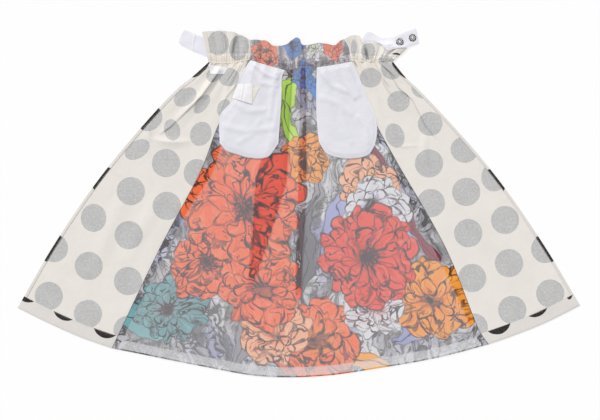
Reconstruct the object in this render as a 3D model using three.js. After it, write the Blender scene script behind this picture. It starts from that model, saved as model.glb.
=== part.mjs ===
// A panelled skirt, opened out flat on a table with its wrong side up. A front panel of printed
// sheer cloth lies between two panels of dotted cotton. A gathered casing with a frilled heading
// runs along the waist, with a ribbon tab at each end and two snaps on one of them. A free sheer
// lining hangs behind the front, two pocket bags hang from the waist, and the hems are turned up.
// Millimetres: +X runs along the hem to the right, +Y up to the waist, +Z up off the table.
import * as THREE from 'three';

// Walls of cloth, and the gaps between pieces that touch
const COTTON = 1.2;
const SHEER = 1.0;
const LINING = 1.0;
const POCKETING = 1.0;
const RIBBON = 1.4;
const LABEL = 1.0;
const GAP = 0.3;
const SEAM_HALF_GAP = 0.2;
const CASING_GAP = 0.6;

// Lengths along the cloth
const DROP = 780;
const COTTON_HEM = 33;
const LINING_HEM = 26;
const LINING_SHORTER = 4;
const SIDE_HEM = 7;

// Rows of each panel, as distances down the cloth from the waist to the hem
const ROWS = [
  0, 14, 32, 55, 85, 125, 175, 235, 305, 380, 455, 530, 605, 680,
  DROP - COTTON_HEM, DROP - LINING_HEM, DROP - LINING_SHORTER, DROP,
];
const HEM_ROW = ROWS.indexOf(DROP - COTTON_HEM);
const LINING_HEM_ROW = ROWS.indexOf(DROP - LINING_HEM);
const LINING_END_ROW = ROWS.indexOf(DROP - LINING_SHORTER);
const LAST_ROW = ROWS.length - 1;

// Edges of the pieces, as points [x, y] of a smooth curve, from the waist down or left to right
const EDGE = {
  left: [[-226, 351], [-267, 314], [-307, 282], [-432, 144], [-520, 32], [-620, -118], [-703, -263]],
  right: [[235, 352], [268, 312], [300, 282], [428, 144], [518, 32], [620, -118], [703, -257]],
  leftSeam: [[-122, 358], [-130, 338], [-158, 262], [-199, 200], [-245, 82], [-347, -111], [-468, -364]],
  rightSeam: [[130, 355], [136, 338], [160, 270], [195, 194], [242, 108], [370, -118], [453, -322],
    [475, -354]],
  leftHem: [[-703, -263], [-622, -303], [-547, -336], [-468, -364]],
  frontHem: [[-468, -364], [-397, -378], [-247, -408], [-97, -433.5], [53, -433.5], [203, -413],
    [353, -386], [475, -354]],
  rightHem: [[475, -354], [540, -331], [615, -301], [703, -257]],
  leftWaist: [[-226, 351], [-197, 348], [-160, 350], [-122, 358]],
  frontWaist: [[-122, 358], [-92, 349], [-35, 332], [3, 336], [45, 339], [90, 346], [130, 355]],
  rightWaist: [[130, 355], [165, 352], [203, 354], [235, 352]],
  leftHeadingTop: [[-242, 427], [-197, 429], [-170, 427], [-153, 422], [-122, 407]],
  frontHeadingTop: [[-122, 407], [-82, 404], [-62, 392], [-27, 397], [-20, 404], [-7, 412], [2, 408],
    [9, 394], [53, 399], [90, 394], [103, 404], [113, 409]],
  rightHeadingTop: [[113, 409], [133, 417], [150, 417], [160, 400], [190, 401], [240, 392],
    [272, 387]],
  leftHeadingEnd: [[-242, 427], [-234, 390], [-226, 351]],
  leftHeadingSeam: [[-122, 407], [-121, 380], [-122, 358]],
  rightHeadingSeam: [[113, 409], [124, 389], [130, 355]],
  rightHeadingEnd: [[272, 387], [262, 376], [247, 363], [235, 352]],
};

// How far inside each seam the free side edge of the lining lies, at distances down the cloth
const LINING_INSET = [
  { down: 0, left: 16, right: 16 },
  { down: 210, left: 24, right: 14 },
  { down: 300, left: 30, right: 18 },
  { down: 380, left: 19, right: 25 },
  { down: 530, left: 17, right: 29 },
  { down: 680, left: 16, right: 18 },
  { down: DROP, left: 15, right: 16 },
];

// Gathers that run down from the casing: how many waves each panel has at the waist, how high
// they stand there, and how far down they fade out
const GATHERS = {
  left: { waves: 4, height: 2.8, reach: 70 },
  front: { waves: 9, height: 3.0, reach: 90 },
  right: { waves: 4, height: 3.4, reach: 80 },
};
const COLUMNS_PER_WAVE = 4;

// The largest folds, one row each: where the ridge starts, bends and ends, how high it stands,
// and half its width at its start, at its bend and at its end. A held fold comes out of the
// gathers at its full height, a pressed one does too but has a flat top, where the cloth lies on
// itself, and a free one rises and dies out within the panel.
const FOLDS = [
  { from: [-200, 330], via: [-240, 269], to: [-322, 184], height: 7.0, widths: [13, 17, 30], kind: 'held' },
  { from: [-372, 157], via: [-322, 149], to: [-262, 152], height: 3.0, widths: [16, 18, 16], kind: 'free' },
  { from: [-147, 344], via: [-177, 294], to: [-190, 232], height: 4.5, widths: [10, 14, 16], kind: 'held' },
  { from: [-398, 214], via: [-376, 178], to: [-392, 128], height: 3.0, widths: [16, 22, 20], kind: 'free' },
  { from: [-420, 60], via: [-470, -60], to: [-520, -190], height: 2.6, widths: [26, 34, 30], kind: 'free' },
  { from: [-330, 60], via: [-385, -50], to: [-450, -180], height: 2.2, widths: [22, 30, 26], kind: 'free' },
  { from: [228, 344], via: [253, 294], to: [330, 168], height: 6.5, widths: [9, 16, 26], kind: 'held' },
  { from: [200, 346], via: [213, 305], to: [236, 262], height: 5.0, widths: [9, 12, 14], kind: 'held' },
  { from: [168, 346], via: [196, 260], to: [216, 172], height: 3.4, widths: [9, 14, 16], kind: 'held' },
  { from: [312, 176], via: [314, 128], to: [324, 70], height: 3.0, widths: [14, 20, 20], kind: 'free' },
  { from: [380, 66], via: [430, -30], to: [470, -130], height: 2.6, widths: [24, 32, 28], kind: 'free' },
  { from: [470, 20], via: [520, -80], to: [575, -200], height: 2.2, widths: [24, 32, 28], kind: 'free' },
  { from: [-22, 336], via: [-75, 57], to: [-128, -220], height: 3.0, widths: [9, 36, 8], kind: 'pressed' },
  { from: [10, 336], via: [9, 40], to: [-4, -262], height: 2.2, widths: [7, 12, 9], kind: 'pressed' },
  { from: [24, 338], via: [38, 160], to: [52, -30], height: 4.0, widths: [8, 12, 18], kind: 'held' },
  { from: [110, 110], via: [134, -40], to: [170, -200], height: 2.6, widths: [20, 26, 24], kind: 'free' },
  { from: [230, -20], via: [280, -130], to: [330, -260], height: 2.6, widths: [22, 32, 28], kind: 'free' },
  { from: [-250, -40], via: [-290, -150], to: [-345, -270], height: 2.4, widths: [22, 30, 26], kind: 'free' },
];

// The frilled heading: the height of each big wave along its top, from left to right, and twice as
// many small puckers that are tightest at the casing
const HEADING_ROWS = 4;
const PUCKER = 2.4;
const HEADINGS = {
  left: [5.0, 7.5, 9.5, 7.0],
  front: [8.0, 9.5, 6.5, 8.5, 11.0, 9.0, 7.0, 8.0, 9.5],
  right: [8.5, 10.0, 6.0, 4.5, 3.5],
};
const HEADING_COLUMNS_PER_WAVE = 8;

// Pocket bags: their edges, and how many columns and rows each has
const POCKETS = {
  left: {
    top: [[-121, 356], [-92, 347], [-35, 330.5]],
    right: [[-35, 330.5], [-41, 317], [-43, 267], [-46, 217], [-51, 147]],
    bottom: [[-198, 149], [-180, 129], [-156, 121], [-125, 112], [-78, 114], [-51, 147]],
    left: [[-121, 356], [-132, 340], [-147, 314], [-167, 255], [-195, 222], [-199, 199], [-198, 149]],
  },
  right: {
    top: [[45, 337.5], [90, 344.5], [132, 353]],
    right: [[132, 353], [155, 302], [172, 257], [193, 207], [195, 170], [190, 143]],
    bottom: [[50, 152], [68, 124], [95, 113], [132, 110], [173, 119], [190, 143]],
    left: [[45, 337.5], [43, 272], [45, 199], [50, 152]],
  },
};
const POCKET_COLUMNS = 9;
const POCKET_ROWS = 12;
const POCKET_INSET = 0.02;
const POCKET_LOFT = 1.2;

// Ribbon tabs, a woven strip, and the two leaves of a folded label
const TAB_LEFT = {
  top: [[-285, 432], [-267, 425], [-240, 415]],
  bottom: [[-296, 394], [-267, 380], [-229, 364]],
  left: [[-285, 432], [-290, 427], [-300, 401], [-296, 394]],
  right: [[-240, 415], [-234.5, 390], [-229, 364]],
};
const TAB_RIGHT = {
  top: [[158, 410], [172, 426], [185, 424], [203, 412], [230, 413], [258, 424], [293, 436]],
  bottom: [[162, 400], [190, 402], [204, 396], [221, 379], [237, 384], [273, 389], [301, 398]],
  left: [[158, 410], [162, 400]],
  right: [[293, 436], [301, 398]],
};
const LABEL_STRIP = {
  top: [[-226, 345], [-177, 337]],
  bottom: [[-221, 321], [-187, 321]],
  left: [[-226, 345], [-221, 321]],
  right: [[-177, 337], [-187, 321]],
};
const LABEL_CARE = {
  top: [[-153, 297], [-115, 297]],
  bottom: [[-167, 261], [-117, 246]],
  left: [[-153, 297], [-167, 261]],
  right: [[-115, 297], [-117, 246]],
};
const LABEL_LEAF = {
  top: [[-150, 288], [-97, 288]],
  bottom: [[-158, 262], [-117, 248]],
  left: [[-150, 288], [-158, 262]],
  right: [[-97, 288], [-117, 248]],
};

// Sew-on snaps: a lobed plate with a raised ring and a domed stud in the middle
const SNAP_PLACES = { snap_inner: [252, 401], snap_outer: [284, 412] };
const SNAP_RADIUS = 9.5;
const SNAP_LOBES = 8;
const SNAP_LOBE_DEPTH = 0.13;
const SNAP_SEGMENTS = 32;

// Colours of the cloth and metal
const CREAM = 0xece8e3;
const ORGANZA = 0xf2a184;
const LINING_WHITE = 0xf1eef0;
const POCKET_WHITE = 0xe3e2e8;
const RIBBON_WHITE = 0xeeecf4;
const LABEL_WHITE = 0xf3f1f5;
const LEAF_CREAM = 0xf0e9dc;
const STEEL = 0x8d8b88;

function smoothCurve(points) {
  const corners = points.map(([x, y]) => new THREE.Vector3(x, y, 0));
  return new THREE.CatmullRomCurve3(corners, false, 'centripetal');
}

function mix(start, end, share) {
  return start + (end - start) * share;
}

function ease(share) {
  const held = Math.min(Math.max(share, 0), 1);
  return held * held * (3 - 2 * held);
}

// A patch of points between four edges. It has a row for each share in downs, and the columns of
// a row lie at the shares that acrossAt gives for it.
function patch(edges, downs, acrossAt) {
  const [top, bottom, left, right] = [edges.top, edges.bottom, edges.left, edges.right].map(smoothCurve);
  const corner = [left.getPoint(0), right.getPoint(0), left.getPoint(1), right.getPoint(1)];
  return downs.map((down, row) => {
    const start = left.getPointAt(down);
    const end = right.getPointAt(down);
    return acrossAt(down, row).map((across) => {
      const above = top.getPointAt(across);
      const below = bottom.getPointAt(across);
      const along = (axis) => {
        const sides = mix(start[axis], end[axis], across);
        const ends = mix(above[axis], below[axis], down);
        const upper = mix(corner[0][axis], corner[1][axis], across);
        const lower = mix(corner[2][axis], corner[3][axis], across);
        return sides + ends - mix(upper, lower, down);
      };
      return new THREE.Vector3(along('x'), along('y'), 0);
    });
  });
}

function evenShares(count) {
  return Array.from({ length: count + 1 }, (_, index) => index / count);
}

function raised(grid, rise) {
  return grid.map((row) => row.map((point) => new THREE.Vector3(point.x, point.y, point.z + rise)));
}

function cut(grid, rows, columns) {
  return grid.slice(rows[0], rows[1] + 1).map((row) => row.slice(columns[0], columns[1] + 1));
}

// A closed wall between a lower and an upper grid of points
function wallGeometry(lower, upper) {
  const rows = lower.length;
  const columns = lower[0].length;
  const positions = [...lower.flat(), ...upper.flat()].flatMap((point) => point.toArray());
  const low = (row, column) => row * columns + column;
  const high = (row, column) => rows * columns + low(row, column);
  const faces = [];
  const quad = (a, b, c, d) => faces.push(a, b, c, a, c, d);
  for (let row = 0; row < rows - 1; row += 1) {
    for (let column = 0; column < columns - 1; column += 1) {
      quad(high(row, column), high(row + 1, column), high(row + 1, column + 1), high(row, column + 1));
      quad(low(row, column), low(row, column + 1), low(row + 1, column + 1), low(row + 1, column));
    }
    quad(low(row, 0), low(row + 1, 0), high(row + 1, 0), high(row, 0));
    const end = columns - 1;
    quad(low(row + 1, end), low(row, end), high(row, end), high(row + 1, end));
  }
  for (let column = 0; column < columns - 1; column += 1) {
    const end = rows - 1;
    quad(low(0, column + 1), low(0, column), high(0, column), high(0, column + 1));
    quad(low(end, column), low(end, column + 1), high(end, column + 1), high(end, column));
  }
  const geometry = new THREE.BufferGeometry();
  geometry.setAttribute('position', new THREE.Float32BufferAttribute(positions, 3));
  geometry.setIndex(faces);
  geometry.computeVertexNormals();
  return geometry;
}

const skirt = new THREE.Group();

function addPiece(name, geometry, colour, roughness, metalness = 0) {
  const material = new THREE.MeshStandardMaterial({ color: colour, roughness, metalness });
  const mesh = new THREE.Mesh(geometry, material);
  mesh.name = name;
  skirt.add(mesh);
}

// The upper faces of the pieces laid so far, and points along their edges, so that the next
// pieces can lie on them
const CLEARING_PASSES = 3;
const laidFaces = [];
const laidPoints = [];
const EDGE_STOPS = evenShares(24);

function facesOf(grid) {
  const faces = [];
  for (let row = 0; row < grid.length - 1; row += 1) {
    for (let column = 0; column < grid[0].length - 1; column += 1) {
      const [a, b] = [grid[row][column], grid[row + 1][column]];
      const [c, d] = [grid[row + 1][column + 1], grid[row][column + 1]];
      faces.push([a, b, c], [a, c, d]);
    }
  }
  return faces;
}

function rememberTop(grid) {
  facesOf(grid).forEach((face) => {
    laidFaces.push(face);
    face.forEach((point, index) => {
      const next = face[(index + 1) % face.length];
      EDGE_STOPS.forEach((share) => laidPoints.push(point.clone().lerp(next, share)));
    });
  });
}

// The height of a triangle straight above or below a place, or null where the place is outside it
function heightIn([a, b, c], x, y) {
  if (x < Math.min(a.x, b.x, c.x) || x > Math.max(a.x, b.x, c.x)) return null;
  if (y < Math.min(a.y, b.y, c.y) || y > Math.max(a.y, b.y, c.y)) return null;
  const area = (b.x - a.x) * (c.y - a.y) - (c.x - a.x) * (b.y - a.y);
  const shareB = ((x - a.x) * (c.y - a.y) - (c.x - a.x) * (y - a.y)) / area;
  const shareC = ((b.x - a.x) * (y - a.y) - (x - a.x) * (b.y - a.y)) / area;
  if (shareB < 0 || shareC < 0 || shareB + shareC > 1) return null;
  return a.z + shareB * (b.z - a.z) + shareC * (c.z - a.z);
}

function topAt(x, y) {
  return laidFaces.reduce((top, face) => Math.max(top, heightIn(face, x, y) ?? 0), 0);
}

// Raises a grid wherever a point of the cloth under it would come through
function clearOfCloth(grid) {
  const faces = facesOf(grid);
  const low = new THREE.Box3().setFromPoints(grid.flat());
  const near = laidPoints.filter((point) => (
    point.x > low.min.x && point.x < low.max.x && point.y > low.min.y && point.y < low.max.y));
  for (let pass = 0; pass < CLEARING_PASSES; pass += 1) {
    faces.forEach((face) => {
      let short = 0;
      near.forEach((point) => {
        const height = heightIn(face, point.x, point.y);
        if (height !== null) short = Math.max(short, point.z + GAP - height);
      });
      face.forEach((corner) => { corner.z += short; });
    });
  }
  return grid;
}

// Lays a flat grid on what lies under it, or on the table, and lets it bridge the narrow hollows
function laidOn(grid, bridging) {
  const laid = grid.map((row) => row.map((point) => {
    const top = topAt(point.x, point.y);
    return new THREE.Vector3(point.x, point.y, top > 0 ? top + GAP : 0);
  }));
  for (let pass = 0; pass < bridging; pass += 1) {
    laid.forEach((row, index) => row.forEach((point, column) => {
      const beside = [row[column - 1], row[column + 1]].filter(Boolean);
      const along = [laid[index - 1]?.[column], laid[index + 1]?.[column]].filter(Boolean);
      [beside, along].filter((pair) => pair.length === 2).forEach(([one, other]) => {
        point.z = Math.max(point.z, (one.z + other.z) / 2);
      });
    }));
  }
  return clearOfCloth(laid);
}

// Cloth of even thickness measured straight up from its lower face
function addCloth(name, lower, thickness, colour, roughness) {
  const upper = raised(lower, thickness);
  addPiece(name, wallGeometry(lower, upper), colour, roughness);
  rememberTop(upper);
  return upper;
}

function nearestOnFold(fold, x, y) {
  const stops = [fold.from, fold.via, fold.to];
  let nearest = { distance: Infinity, along: 0 };
  for (let part = 0; part < stops.length - 1; part += 1) {
    const [startX, startY] = stops[part];
    const [endX, endY] = stops[part + 1];
    const [runX, runY] = [endX - startX, endY - startY];
    const reach = ((x - startX) * runX + (y - startY) * runY) / (runX * runX + runY * runY);
    const share = Math.min(Math.max(reach, 0), 1);
    const distance = Math.hypot(x - startX - share * runX, y - startY - share * runY);
    if (distance < nearest.distance) nearest = { distance, along: (part + share) / 2 };
  }
  return nearest;
}

function foldHeight(fold, x, y) {
  const { distance, along } = nearestOnFold(fold, x, y);
  const [startWidth, bendWidth, endWidth] = fold.widths;
  const width = along < 0.5 ? mix(startWidth, bendWidth, along * 2) : mix(bendWidth, endWidth, along * 2 - 1);
  if (distance >= width) return 0;
  const lengthwise = fold.kind === 'free' ? Math.sin(along * Math.PI) : Math.cos(along * Math.PI / 2);
  const across = 1 - distance / width;
  const crosswise = fold.kind === 'pressed' ? ease(across * 3) : ease(across);
  return fold.height * lengthwise * crosswise;
}

function gatherHeight(gathers, across, down) {
  const wave = (1 - Math.cos(2 * Math.PI * gathers.waves * across)) / 2;
  const uneven = 1 + 0.3 * Math.sin(11 * across + 0.7);
  return gathers.height * uneven * wave * Math.exp(-down / gathers.reach);
}

// A panel of the skirt lies flat on the table apart from its folds and gathers
function panelGrid(edges, gathers, acrossAt) {
  const flat = patch(edges, ROWS.map((down) => down / DROP), acrossAt);
  const last = flat[0].length - 1;
  return flat.map((row, index) => row.map((point, column) => {
    const folds = FOLDS.map((fold) => foldHeight(fold, point.x, point.y));
    const inSeam = column === 0 || column === last;
    const height = inSeam ? 0 : Math.max(...folds, gatherHeight(gathers, column / last, ROWS[index]));
    return new THREE.Vector3(point.x, point.y, height);
  }));
}

function partAtSeams(grid, atStart, atEnd) {
  grid.forEach((row) => {
    if (atStart) row[0].x += SEAM_HALF_GAP;
    if (atEnd) row[row.length - 1].x -= SEAM_HALF_GAP;
  });
  return grid;
}

// Shares across a row whose first and last columns lie at given widths in from its ends
function insetShares(width, startInset, endInset, columns) {
  const inner = columns - (startInset ? 1 : 0) - (endInset ? 1 : 0);
  const start = startInset / width;
  const end = 1 - endInset / width;
  const shares = evenShares(inner).map((share) => mix(start, end, share));
  if (startInset) shares.unshift(0);
  if (endInset) shares.push(1);
  return shares;
}

function rowWidth(leftPoints, rightPoints, down) {
  const start = smoothCurve(leftPoints).getPointAt(down);
  return start.distanceTo(smoothCurve(rightPoints).getPointAt(down));
}

// The side hem is measured square to the slanted edge, so along a row it is wider
function sideHemAlongRow(edgePoints, seamPoints, down) {
  const edge = smoothCurve(edgePoints);
  const slope = edge.getTangentAt(down);
  const row = smoothCurve(seamPoints).getPointAt(down).sub(edge.getPointAt(down)).normalize();
  return SIDE_HEM / Math.abs(slope.x * row.y - slope.y * row.x);
}

function liningInset(side, down) {
  const after = LINING_INSET.findIndex((entry) => entry.down >= down);
  if (after <= 0) return LINING_INSET[0][side];
  const [upper, lower] = [LINING_INSET[after - 1], LINING_INSET[after]];
  return mix(upper[side], lower[side], (down - upper.down) / (lower.down - upper.down));
}

// Cotton side panels, their turned side hems and their turned-up bottom hems
function addLeftPanel() {
  const columns = GATHERS.left.waves * COLUMNS_PER_WAVE;
  const edges = { top: EDGE.leftWaist, bottom: EDGE.leftHem, left: EDGE.left, right: EDGE.leftSeam };
  const acrossAt = (down) => {
    const width = rowWidth(EDGE.left, EDGE.leftSeam, down);
    return insetShares(width, sideHemAlongRow(EDGE.left, EDGE.leftSeam, down), 0, columns);
  };
  const grid = partAtSeams(panelGrid(edges, GATHERS.left, acrossAt), false, true);
  addTurnedEdges('left', addCloth('panel_left', grid, COTTON, CREAM, 0.92), [0, 1]);
}

function addRightPanel() {
  const columns = GATHERS.right.waves * COLUMNS_PER_WAVE;
  const edges = { top: EDGE.rightWaist, bottom: EDGE.rightHem, left: EDGE.rightSeam, right: EDGE.right };
  const acrossAt = (down) => {
    const width = rowWidth(EDGE.rightSeam, EDGE.right, down);
    return insetShares(width, 0, sideHemAlongRow(EDGE.right, EDGE.rightSeam, down), columns);
  };
  const grid = partAtSeams(panelGrid(edges, GATHERS.right, acrossAt), true, false);
  addTurnedEdges('right', addCloth('panel_right', grid, COTTON, CREAM, 0.92), [columns - 1, columns]);
}

function addTurnedEdges(side, panelTop, edgeColumns) {
  const strip = raised(cut(panelTop, [0, HEM_ROW], edgeColumns), GAP);
  strip[HEM_ROW].forEach((point) => { point.y += GAP; });
  addCloth(`side_hem_${side}`, strip, COTTON, CREAM, 0.92);
  const turnUp = raised(cut(panelTop, [HEM_ROW, LAST_ROW], [0, panelTop[0].length - 1]), GAP);
  addCloth(`hem_${side}`, turnUp, COTTON, CREAM, 0.92);
}

// The sheer front, its lining with free side edges, and the lining's own double hem
function addFront() {
  const columns = GATHERS.front.waves * COLUMNS_PER_WAVE;
  const edges = { top: EDGE.frontWaist, bottom: EDGE.frontHem, left: EDGE.leftSeam, right: EDGE.rightSeam };
  const grid = partAtSeams(panelGrid(edges, GATHERS.front, (down, row) => insetShares(
    rowWidth(EDGE.leftSeam, EDGE.rightSeam, down),
    liningInset('left', ROWS[row]), liningInset('right', ROWS[row]), columns,
  )), true, true);
  const frontTop = addCloth('panel_sheer', grid, SHEER, ORGANZA, 0.55);
  const lining = raised(cut(frontTop, [0, LINING_END_ROW], [1, columns - 1]), GAP);
  const liningTop = addCloth('lining_sheer', lining, LINING, LINING_WHITE, 0.6);
  const hem = raised(cut(liningTop, [LINING_HEM_ROW, LINING_END_ROW], [0, columns - 2]), GAP);
  addCloth('lining_hem', hem, LINING, LINING_WHITE, 0.6);
}

// A stretch of the heading is a standing wave, so its wall is measured square to its surface
function headingGrids(edges, frills) {
  const columns = frills.length * HEADING_COLUMNS_PER_WAVE;
  const flat = patch(edges, evenShares(HEADING_ROWS), () => evenShares(columns));
  const middle = flat.map((row, index) => row.map((point, column) => {
    const towardCasing = index / HEADING_ROWS;
    const phase = (2 * Math.PI * column) / HEADING_COLUMNS_PER_WAVE;
    const wave = Math.min(Math.floor(column / HEADING_COLUMNS_PER_WAVE), frills.length - 1);
    const frill = frills[wave] * (1 - 0.85 * towardCasing) * (1 - Math.cos(phase)) / 2;
    const pucker = PUCKER * (0.35 + 0.65 * towardCasing) * (1 - Math.cos(2 * phase)) / 2;
    return new THREE.Vector3(point.x, point.y, COTTON / 2 + frill + pucker);
  }));
  middle[HEADING_ROWS].forEach((point) => { point.y += CASING_GAP; });
  const face = (side) => middle.map((row, index) => row.map((point, column) => {
    const square = squareTo(middle, index, column).multiplyScalar(side * COTTON / 2);
    return point.clone().add(square);
  }));
  return { lower: face(-1), upper: face(1) };
}

function squareTo(grid, row, column) {
  const onEdge = row === 0 || column === 0 || row === grid.length - 1 || column === grid[0].length - 1;
  const beside = grid[row][Math.min(column + 1, grid[0].length - 1)].clone();
  const across = beside.sub(grid[row][Math.max(column - 1, 0)]);
  if (column === 0 || column === grid[0].length - 1) return new THREE.Vector3(0, 0, 1);
  if (onEdge) return new THREE.Vector3(-across.z, 0, across.x).normalize();
  const along = grid[row + 1][column].clone().sub(grid[row - 1][column]);
  return along.cross(across).normalize();
}

function addHeading(name, edges, frills, colour, parting) {
  const { lower, upper } = headingGrids(edges, frills);
  partAtSeams(lower, ...parting);
  partAtSeams(upper, ...parting);
  addPiece(name, wallGeometry(lower, upper), colour, 0.85);
  rememberTop(upper);
  return upper;
}

const LEFT_END_COLUMNS = 3;
const RIGHT_END_COLUMNS = 12;
const RIGHT_END_ROWS = 2;

function addHeadings() {
  const leftTop = addHeading('heading_left', {
    top: EDGE.leftHeadingTop,
    bottom: EDGE.leftWaist,
    left: EDGE.leftHeadingEnd,
    right: EDGE.leftHeadingSeam,
  }, HEADINGS.left, CREAM, [false, true]);
  addHeading('heading_centre', {
    top: EDGE.frontHeadingTop,
    bottom: EDGE.frontWaist,
    left: EDGE.leftHeadingSeam,
    right: EDGE.rightHeadingSeam,
  }, HEADINGS.front, ORGANZA, [true, true]);
  const rightTop = addHeading('heading_right', {
    top: EDGE.rightHeadingTop,
    bottom: EDGE.rightWaist,
    left: EDGE.rightHeadingSeam,
    right: EDGE.rightHeadingEnd,
  }, HEADINGS.right, CREAM, [true, false]);
  const leftEnd = raised(cut(leftTop, [0, HEADING_ROWS], [0, LEFT_END_COLUMNS]), 2 * GAP);
  addCloth('heading_end_left', leftEnd, COTTON, CREAM, 0.92);
  const last = rightTop[0].length - 1;
  const rightEnd = raised(cut(rightTop, [0, RIGHT_END_ROWS], [last - RIGHT_END_COLUMNS, last]), 2 * GAP);
  addCloth('heading_end_right', rightEnd, COTTON, CREAM, 0.92);
}

// Each pocket bag is two layers of plain cloth, sewn round their curved edge and a little apart
// inside it
function addPocket(side) {
  const flat = patch(POCKETS[side], evenShares(POCKET_ROWS), () => evenShares(POCKET_COLUMNS));
  addCloth(`pocket_${side}_under`, laidOn(flat, 2), POCKETING, POCKET_WHITE, 0.8);
  const box = new THREE.Box3().setFromPoints(flat.flat());
  const centre = box.getCenter(new THREE.Vector3());
  const inset = flat.map((row) => row.map((point) => point.clone().lerp(centre, POCKET_INSET)));
  const upper = laidOn(inset, 1);
  upper.slice(1, POCKET_ROWS).forEach((row) => {
    row.slice(1, POCKET_COLUMNS).forEach((point) => { point.z += POCKET_LOFT; });
  });
  addCloth(`pocket_${side}_upper`, upper, POCKETING, POCKET_WHITE, 0.8);
}

function addLaidPiece(name, edges, columns, rows, thickness, colour, bridging) {
  const flat = patch(edges, evenShares(rows), () => evenShares(columns));
  addCloth(name, laidOn(flat, bridging), thickness, colour, 0.7);
}

// A snap turned about its own axis, with its rim drawn in between the lobes
function snapGeometry(x, y, base) {
  const profile = [
    [1.0, 0.0], [1.0, 0.9], [0.86, 1.2], [0.7, 1.0], [0.62, 1.8], [0.5, 1.8], [0.42, 1.1], [0.3, 1.9],
    [0.15, 2.5],
  ];
  const positions = [x, y, base];
  profile.forEach(([share, rise], ring) => {
    for (let step = 0; step < SNAP_SEGMENTS; step += 1) {
      const angle = (2 * Math.PI * step) / SNAP_SEGMENTS;
      const lobed = ring <= 2 ? 1 - SNAP_LOBE_DEPTH * (1 + Math.cos(SNAP_LOBES * angle)) / 2 : 1;
      const radius = SNAP_RADIUS * share * lobed;
      positions.push(x + radius * Math.cos(angle), y + radius * Math.sin(angle), base + rise);
    }
  });
  positions.push(x, y, base + 2.7);
  const top = positions.length / 3 - 1;
  const faces = [];
  for (let step = 0; step < SNAP_SEGMENTS; step += 1) {
    const next = (step + 1) % SNAP_SEGMENTS;
    faces.push(0, 1 + next, 1 + step);
    for (let ring = 0; ring < profile.length - 1; ring += 1) {
      const [inner, outer] = [1 + ring * SNAP_SEGMENTS, 1 + (ring + 1) * SNAP_SEGMENTS];
      faces.push(inner + step, inner + next, outer + next, inner + step, outer + next, outer + step);
    }
    const rim = 1 + (profile.length - 1) * SNAP_SEGMENTS;
    faces.push(rim + step, rim + next, top);
  }
  const geometry = new THREE.BufferGeometry();
  geometry.setAttribute('position', new THREE.Float32BufferAttribute(positions, 3));
  geometry.setIndex(faces);
  geometry.computeVertexNormals();
  return geometry;
}

function addSnaps() {
  Object.entries(SNAP_PLACES).forEach(([name, [x, y]]) => {
    const under = laidPoints.filter((point) => Math.hypot(point.x - x, point.y - y) < SNAP_RADIUS);
    const base = Math.max(...under.map((point) => point.z), topAt(x, y)) + GAP;
    addPiece(name, snapGeometry(x, y, base), STEEL, 0.35, 0.9);
  });
}

addLeftPanel();
addRightPanel();
addFront();
addHeadings();
addPocket('left');
addPocket('right');
addLaidPiece('tab_left', TAB_LEFT, 6, 3, RIBBON, RIBBON_WHITE, 0);
addLaidPiece('tab_right', TAB_RIGHT, 12, 3, RIBBON, RIBBON_WHITE, 8);
addLaidPiece('label_strip', LABEL_STRIP, 6, 2, LABEL, LABEL_WHITE, 4);
addLaidPiece('label_leaf', LABEL_LEAF, 5, 3, LABEL, LEAF_CREAM, 3);
addLaidPiece('label_care', LABEL_CARE, 5, 4, LABEL, LABEL_WHITE, 3);
addSnaps();

export default skirt;
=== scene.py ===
# %% [markdown]
# A panelled skirt lies open on a table with its wrong side up. Its front is printed sheer cloth
# between two panels of dotted cotton, with a white lining behind it. This lesson dresses the plain
# CAD solids of the skirt: it makes each sewn piece again as thin cloth, piece by piece, in the order
# in which they lie on each other, and gives each one a procedural finish.

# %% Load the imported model
import math

import bmesh
import bpy
import numpy as np
from mathutils import Matrix
from mathutils.bvhtree import BVHTree


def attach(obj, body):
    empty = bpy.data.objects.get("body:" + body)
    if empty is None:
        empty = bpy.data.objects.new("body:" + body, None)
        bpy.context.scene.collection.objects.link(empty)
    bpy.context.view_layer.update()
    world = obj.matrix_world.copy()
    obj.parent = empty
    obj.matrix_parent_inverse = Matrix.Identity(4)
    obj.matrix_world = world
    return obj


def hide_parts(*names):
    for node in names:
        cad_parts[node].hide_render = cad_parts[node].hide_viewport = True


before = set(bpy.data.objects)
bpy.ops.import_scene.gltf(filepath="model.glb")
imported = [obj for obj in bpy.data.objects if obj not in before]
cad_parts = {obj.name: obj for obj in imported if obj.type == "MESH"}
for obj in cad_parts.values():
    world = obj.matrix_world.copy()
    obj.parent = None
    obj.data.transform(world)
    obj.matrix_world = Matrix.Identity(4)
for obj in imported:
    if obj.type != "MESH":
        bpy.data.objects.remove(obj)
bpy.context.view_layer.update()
MM = 0.001

# %% [markdown]
# The camera looks straight down, as for a flat lay in a catalogue, from far enough away that the
# raised folds hardly lean. The frame is 1.5 m wide. One broad lamp from the upper left draws the
# creases, and an even white surrounding fills the shadows.

# %% Camera, lamp and table top
VIEW_WIDTH = 1.5
VIEW_CENTRE = (2.75 * MM, -18.25 * MM)
LENS = 85.0
SENSOR = 36.0
LAMP_STRENGTH = 1.95
LAMP_SPREAD = 16
LAMP_TILT = -55
LAMP_TURN = 24
SURROUNDING = 0.64
TABLE_SIZE = 60
TABLE_LEVEL = -0.4
SCENE = bpy.context.scene


def in_scene(name, data):
    thing = bpy.data.objects.new(name, data)
    SCENE.collection.objects.link(thing)
    return thing


def add_camera():
    camera = in_scene("camera_above", bpy.data.cameras.new("camera_above"))
    camera.data.lens = LENS
    camera.data.sensor_width = SENSOR
    camera.location = (*VIEW_CENTRE, VIEW_WIDTH * LENS / SENSOR)
    SCENE.camera = camera


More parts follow.
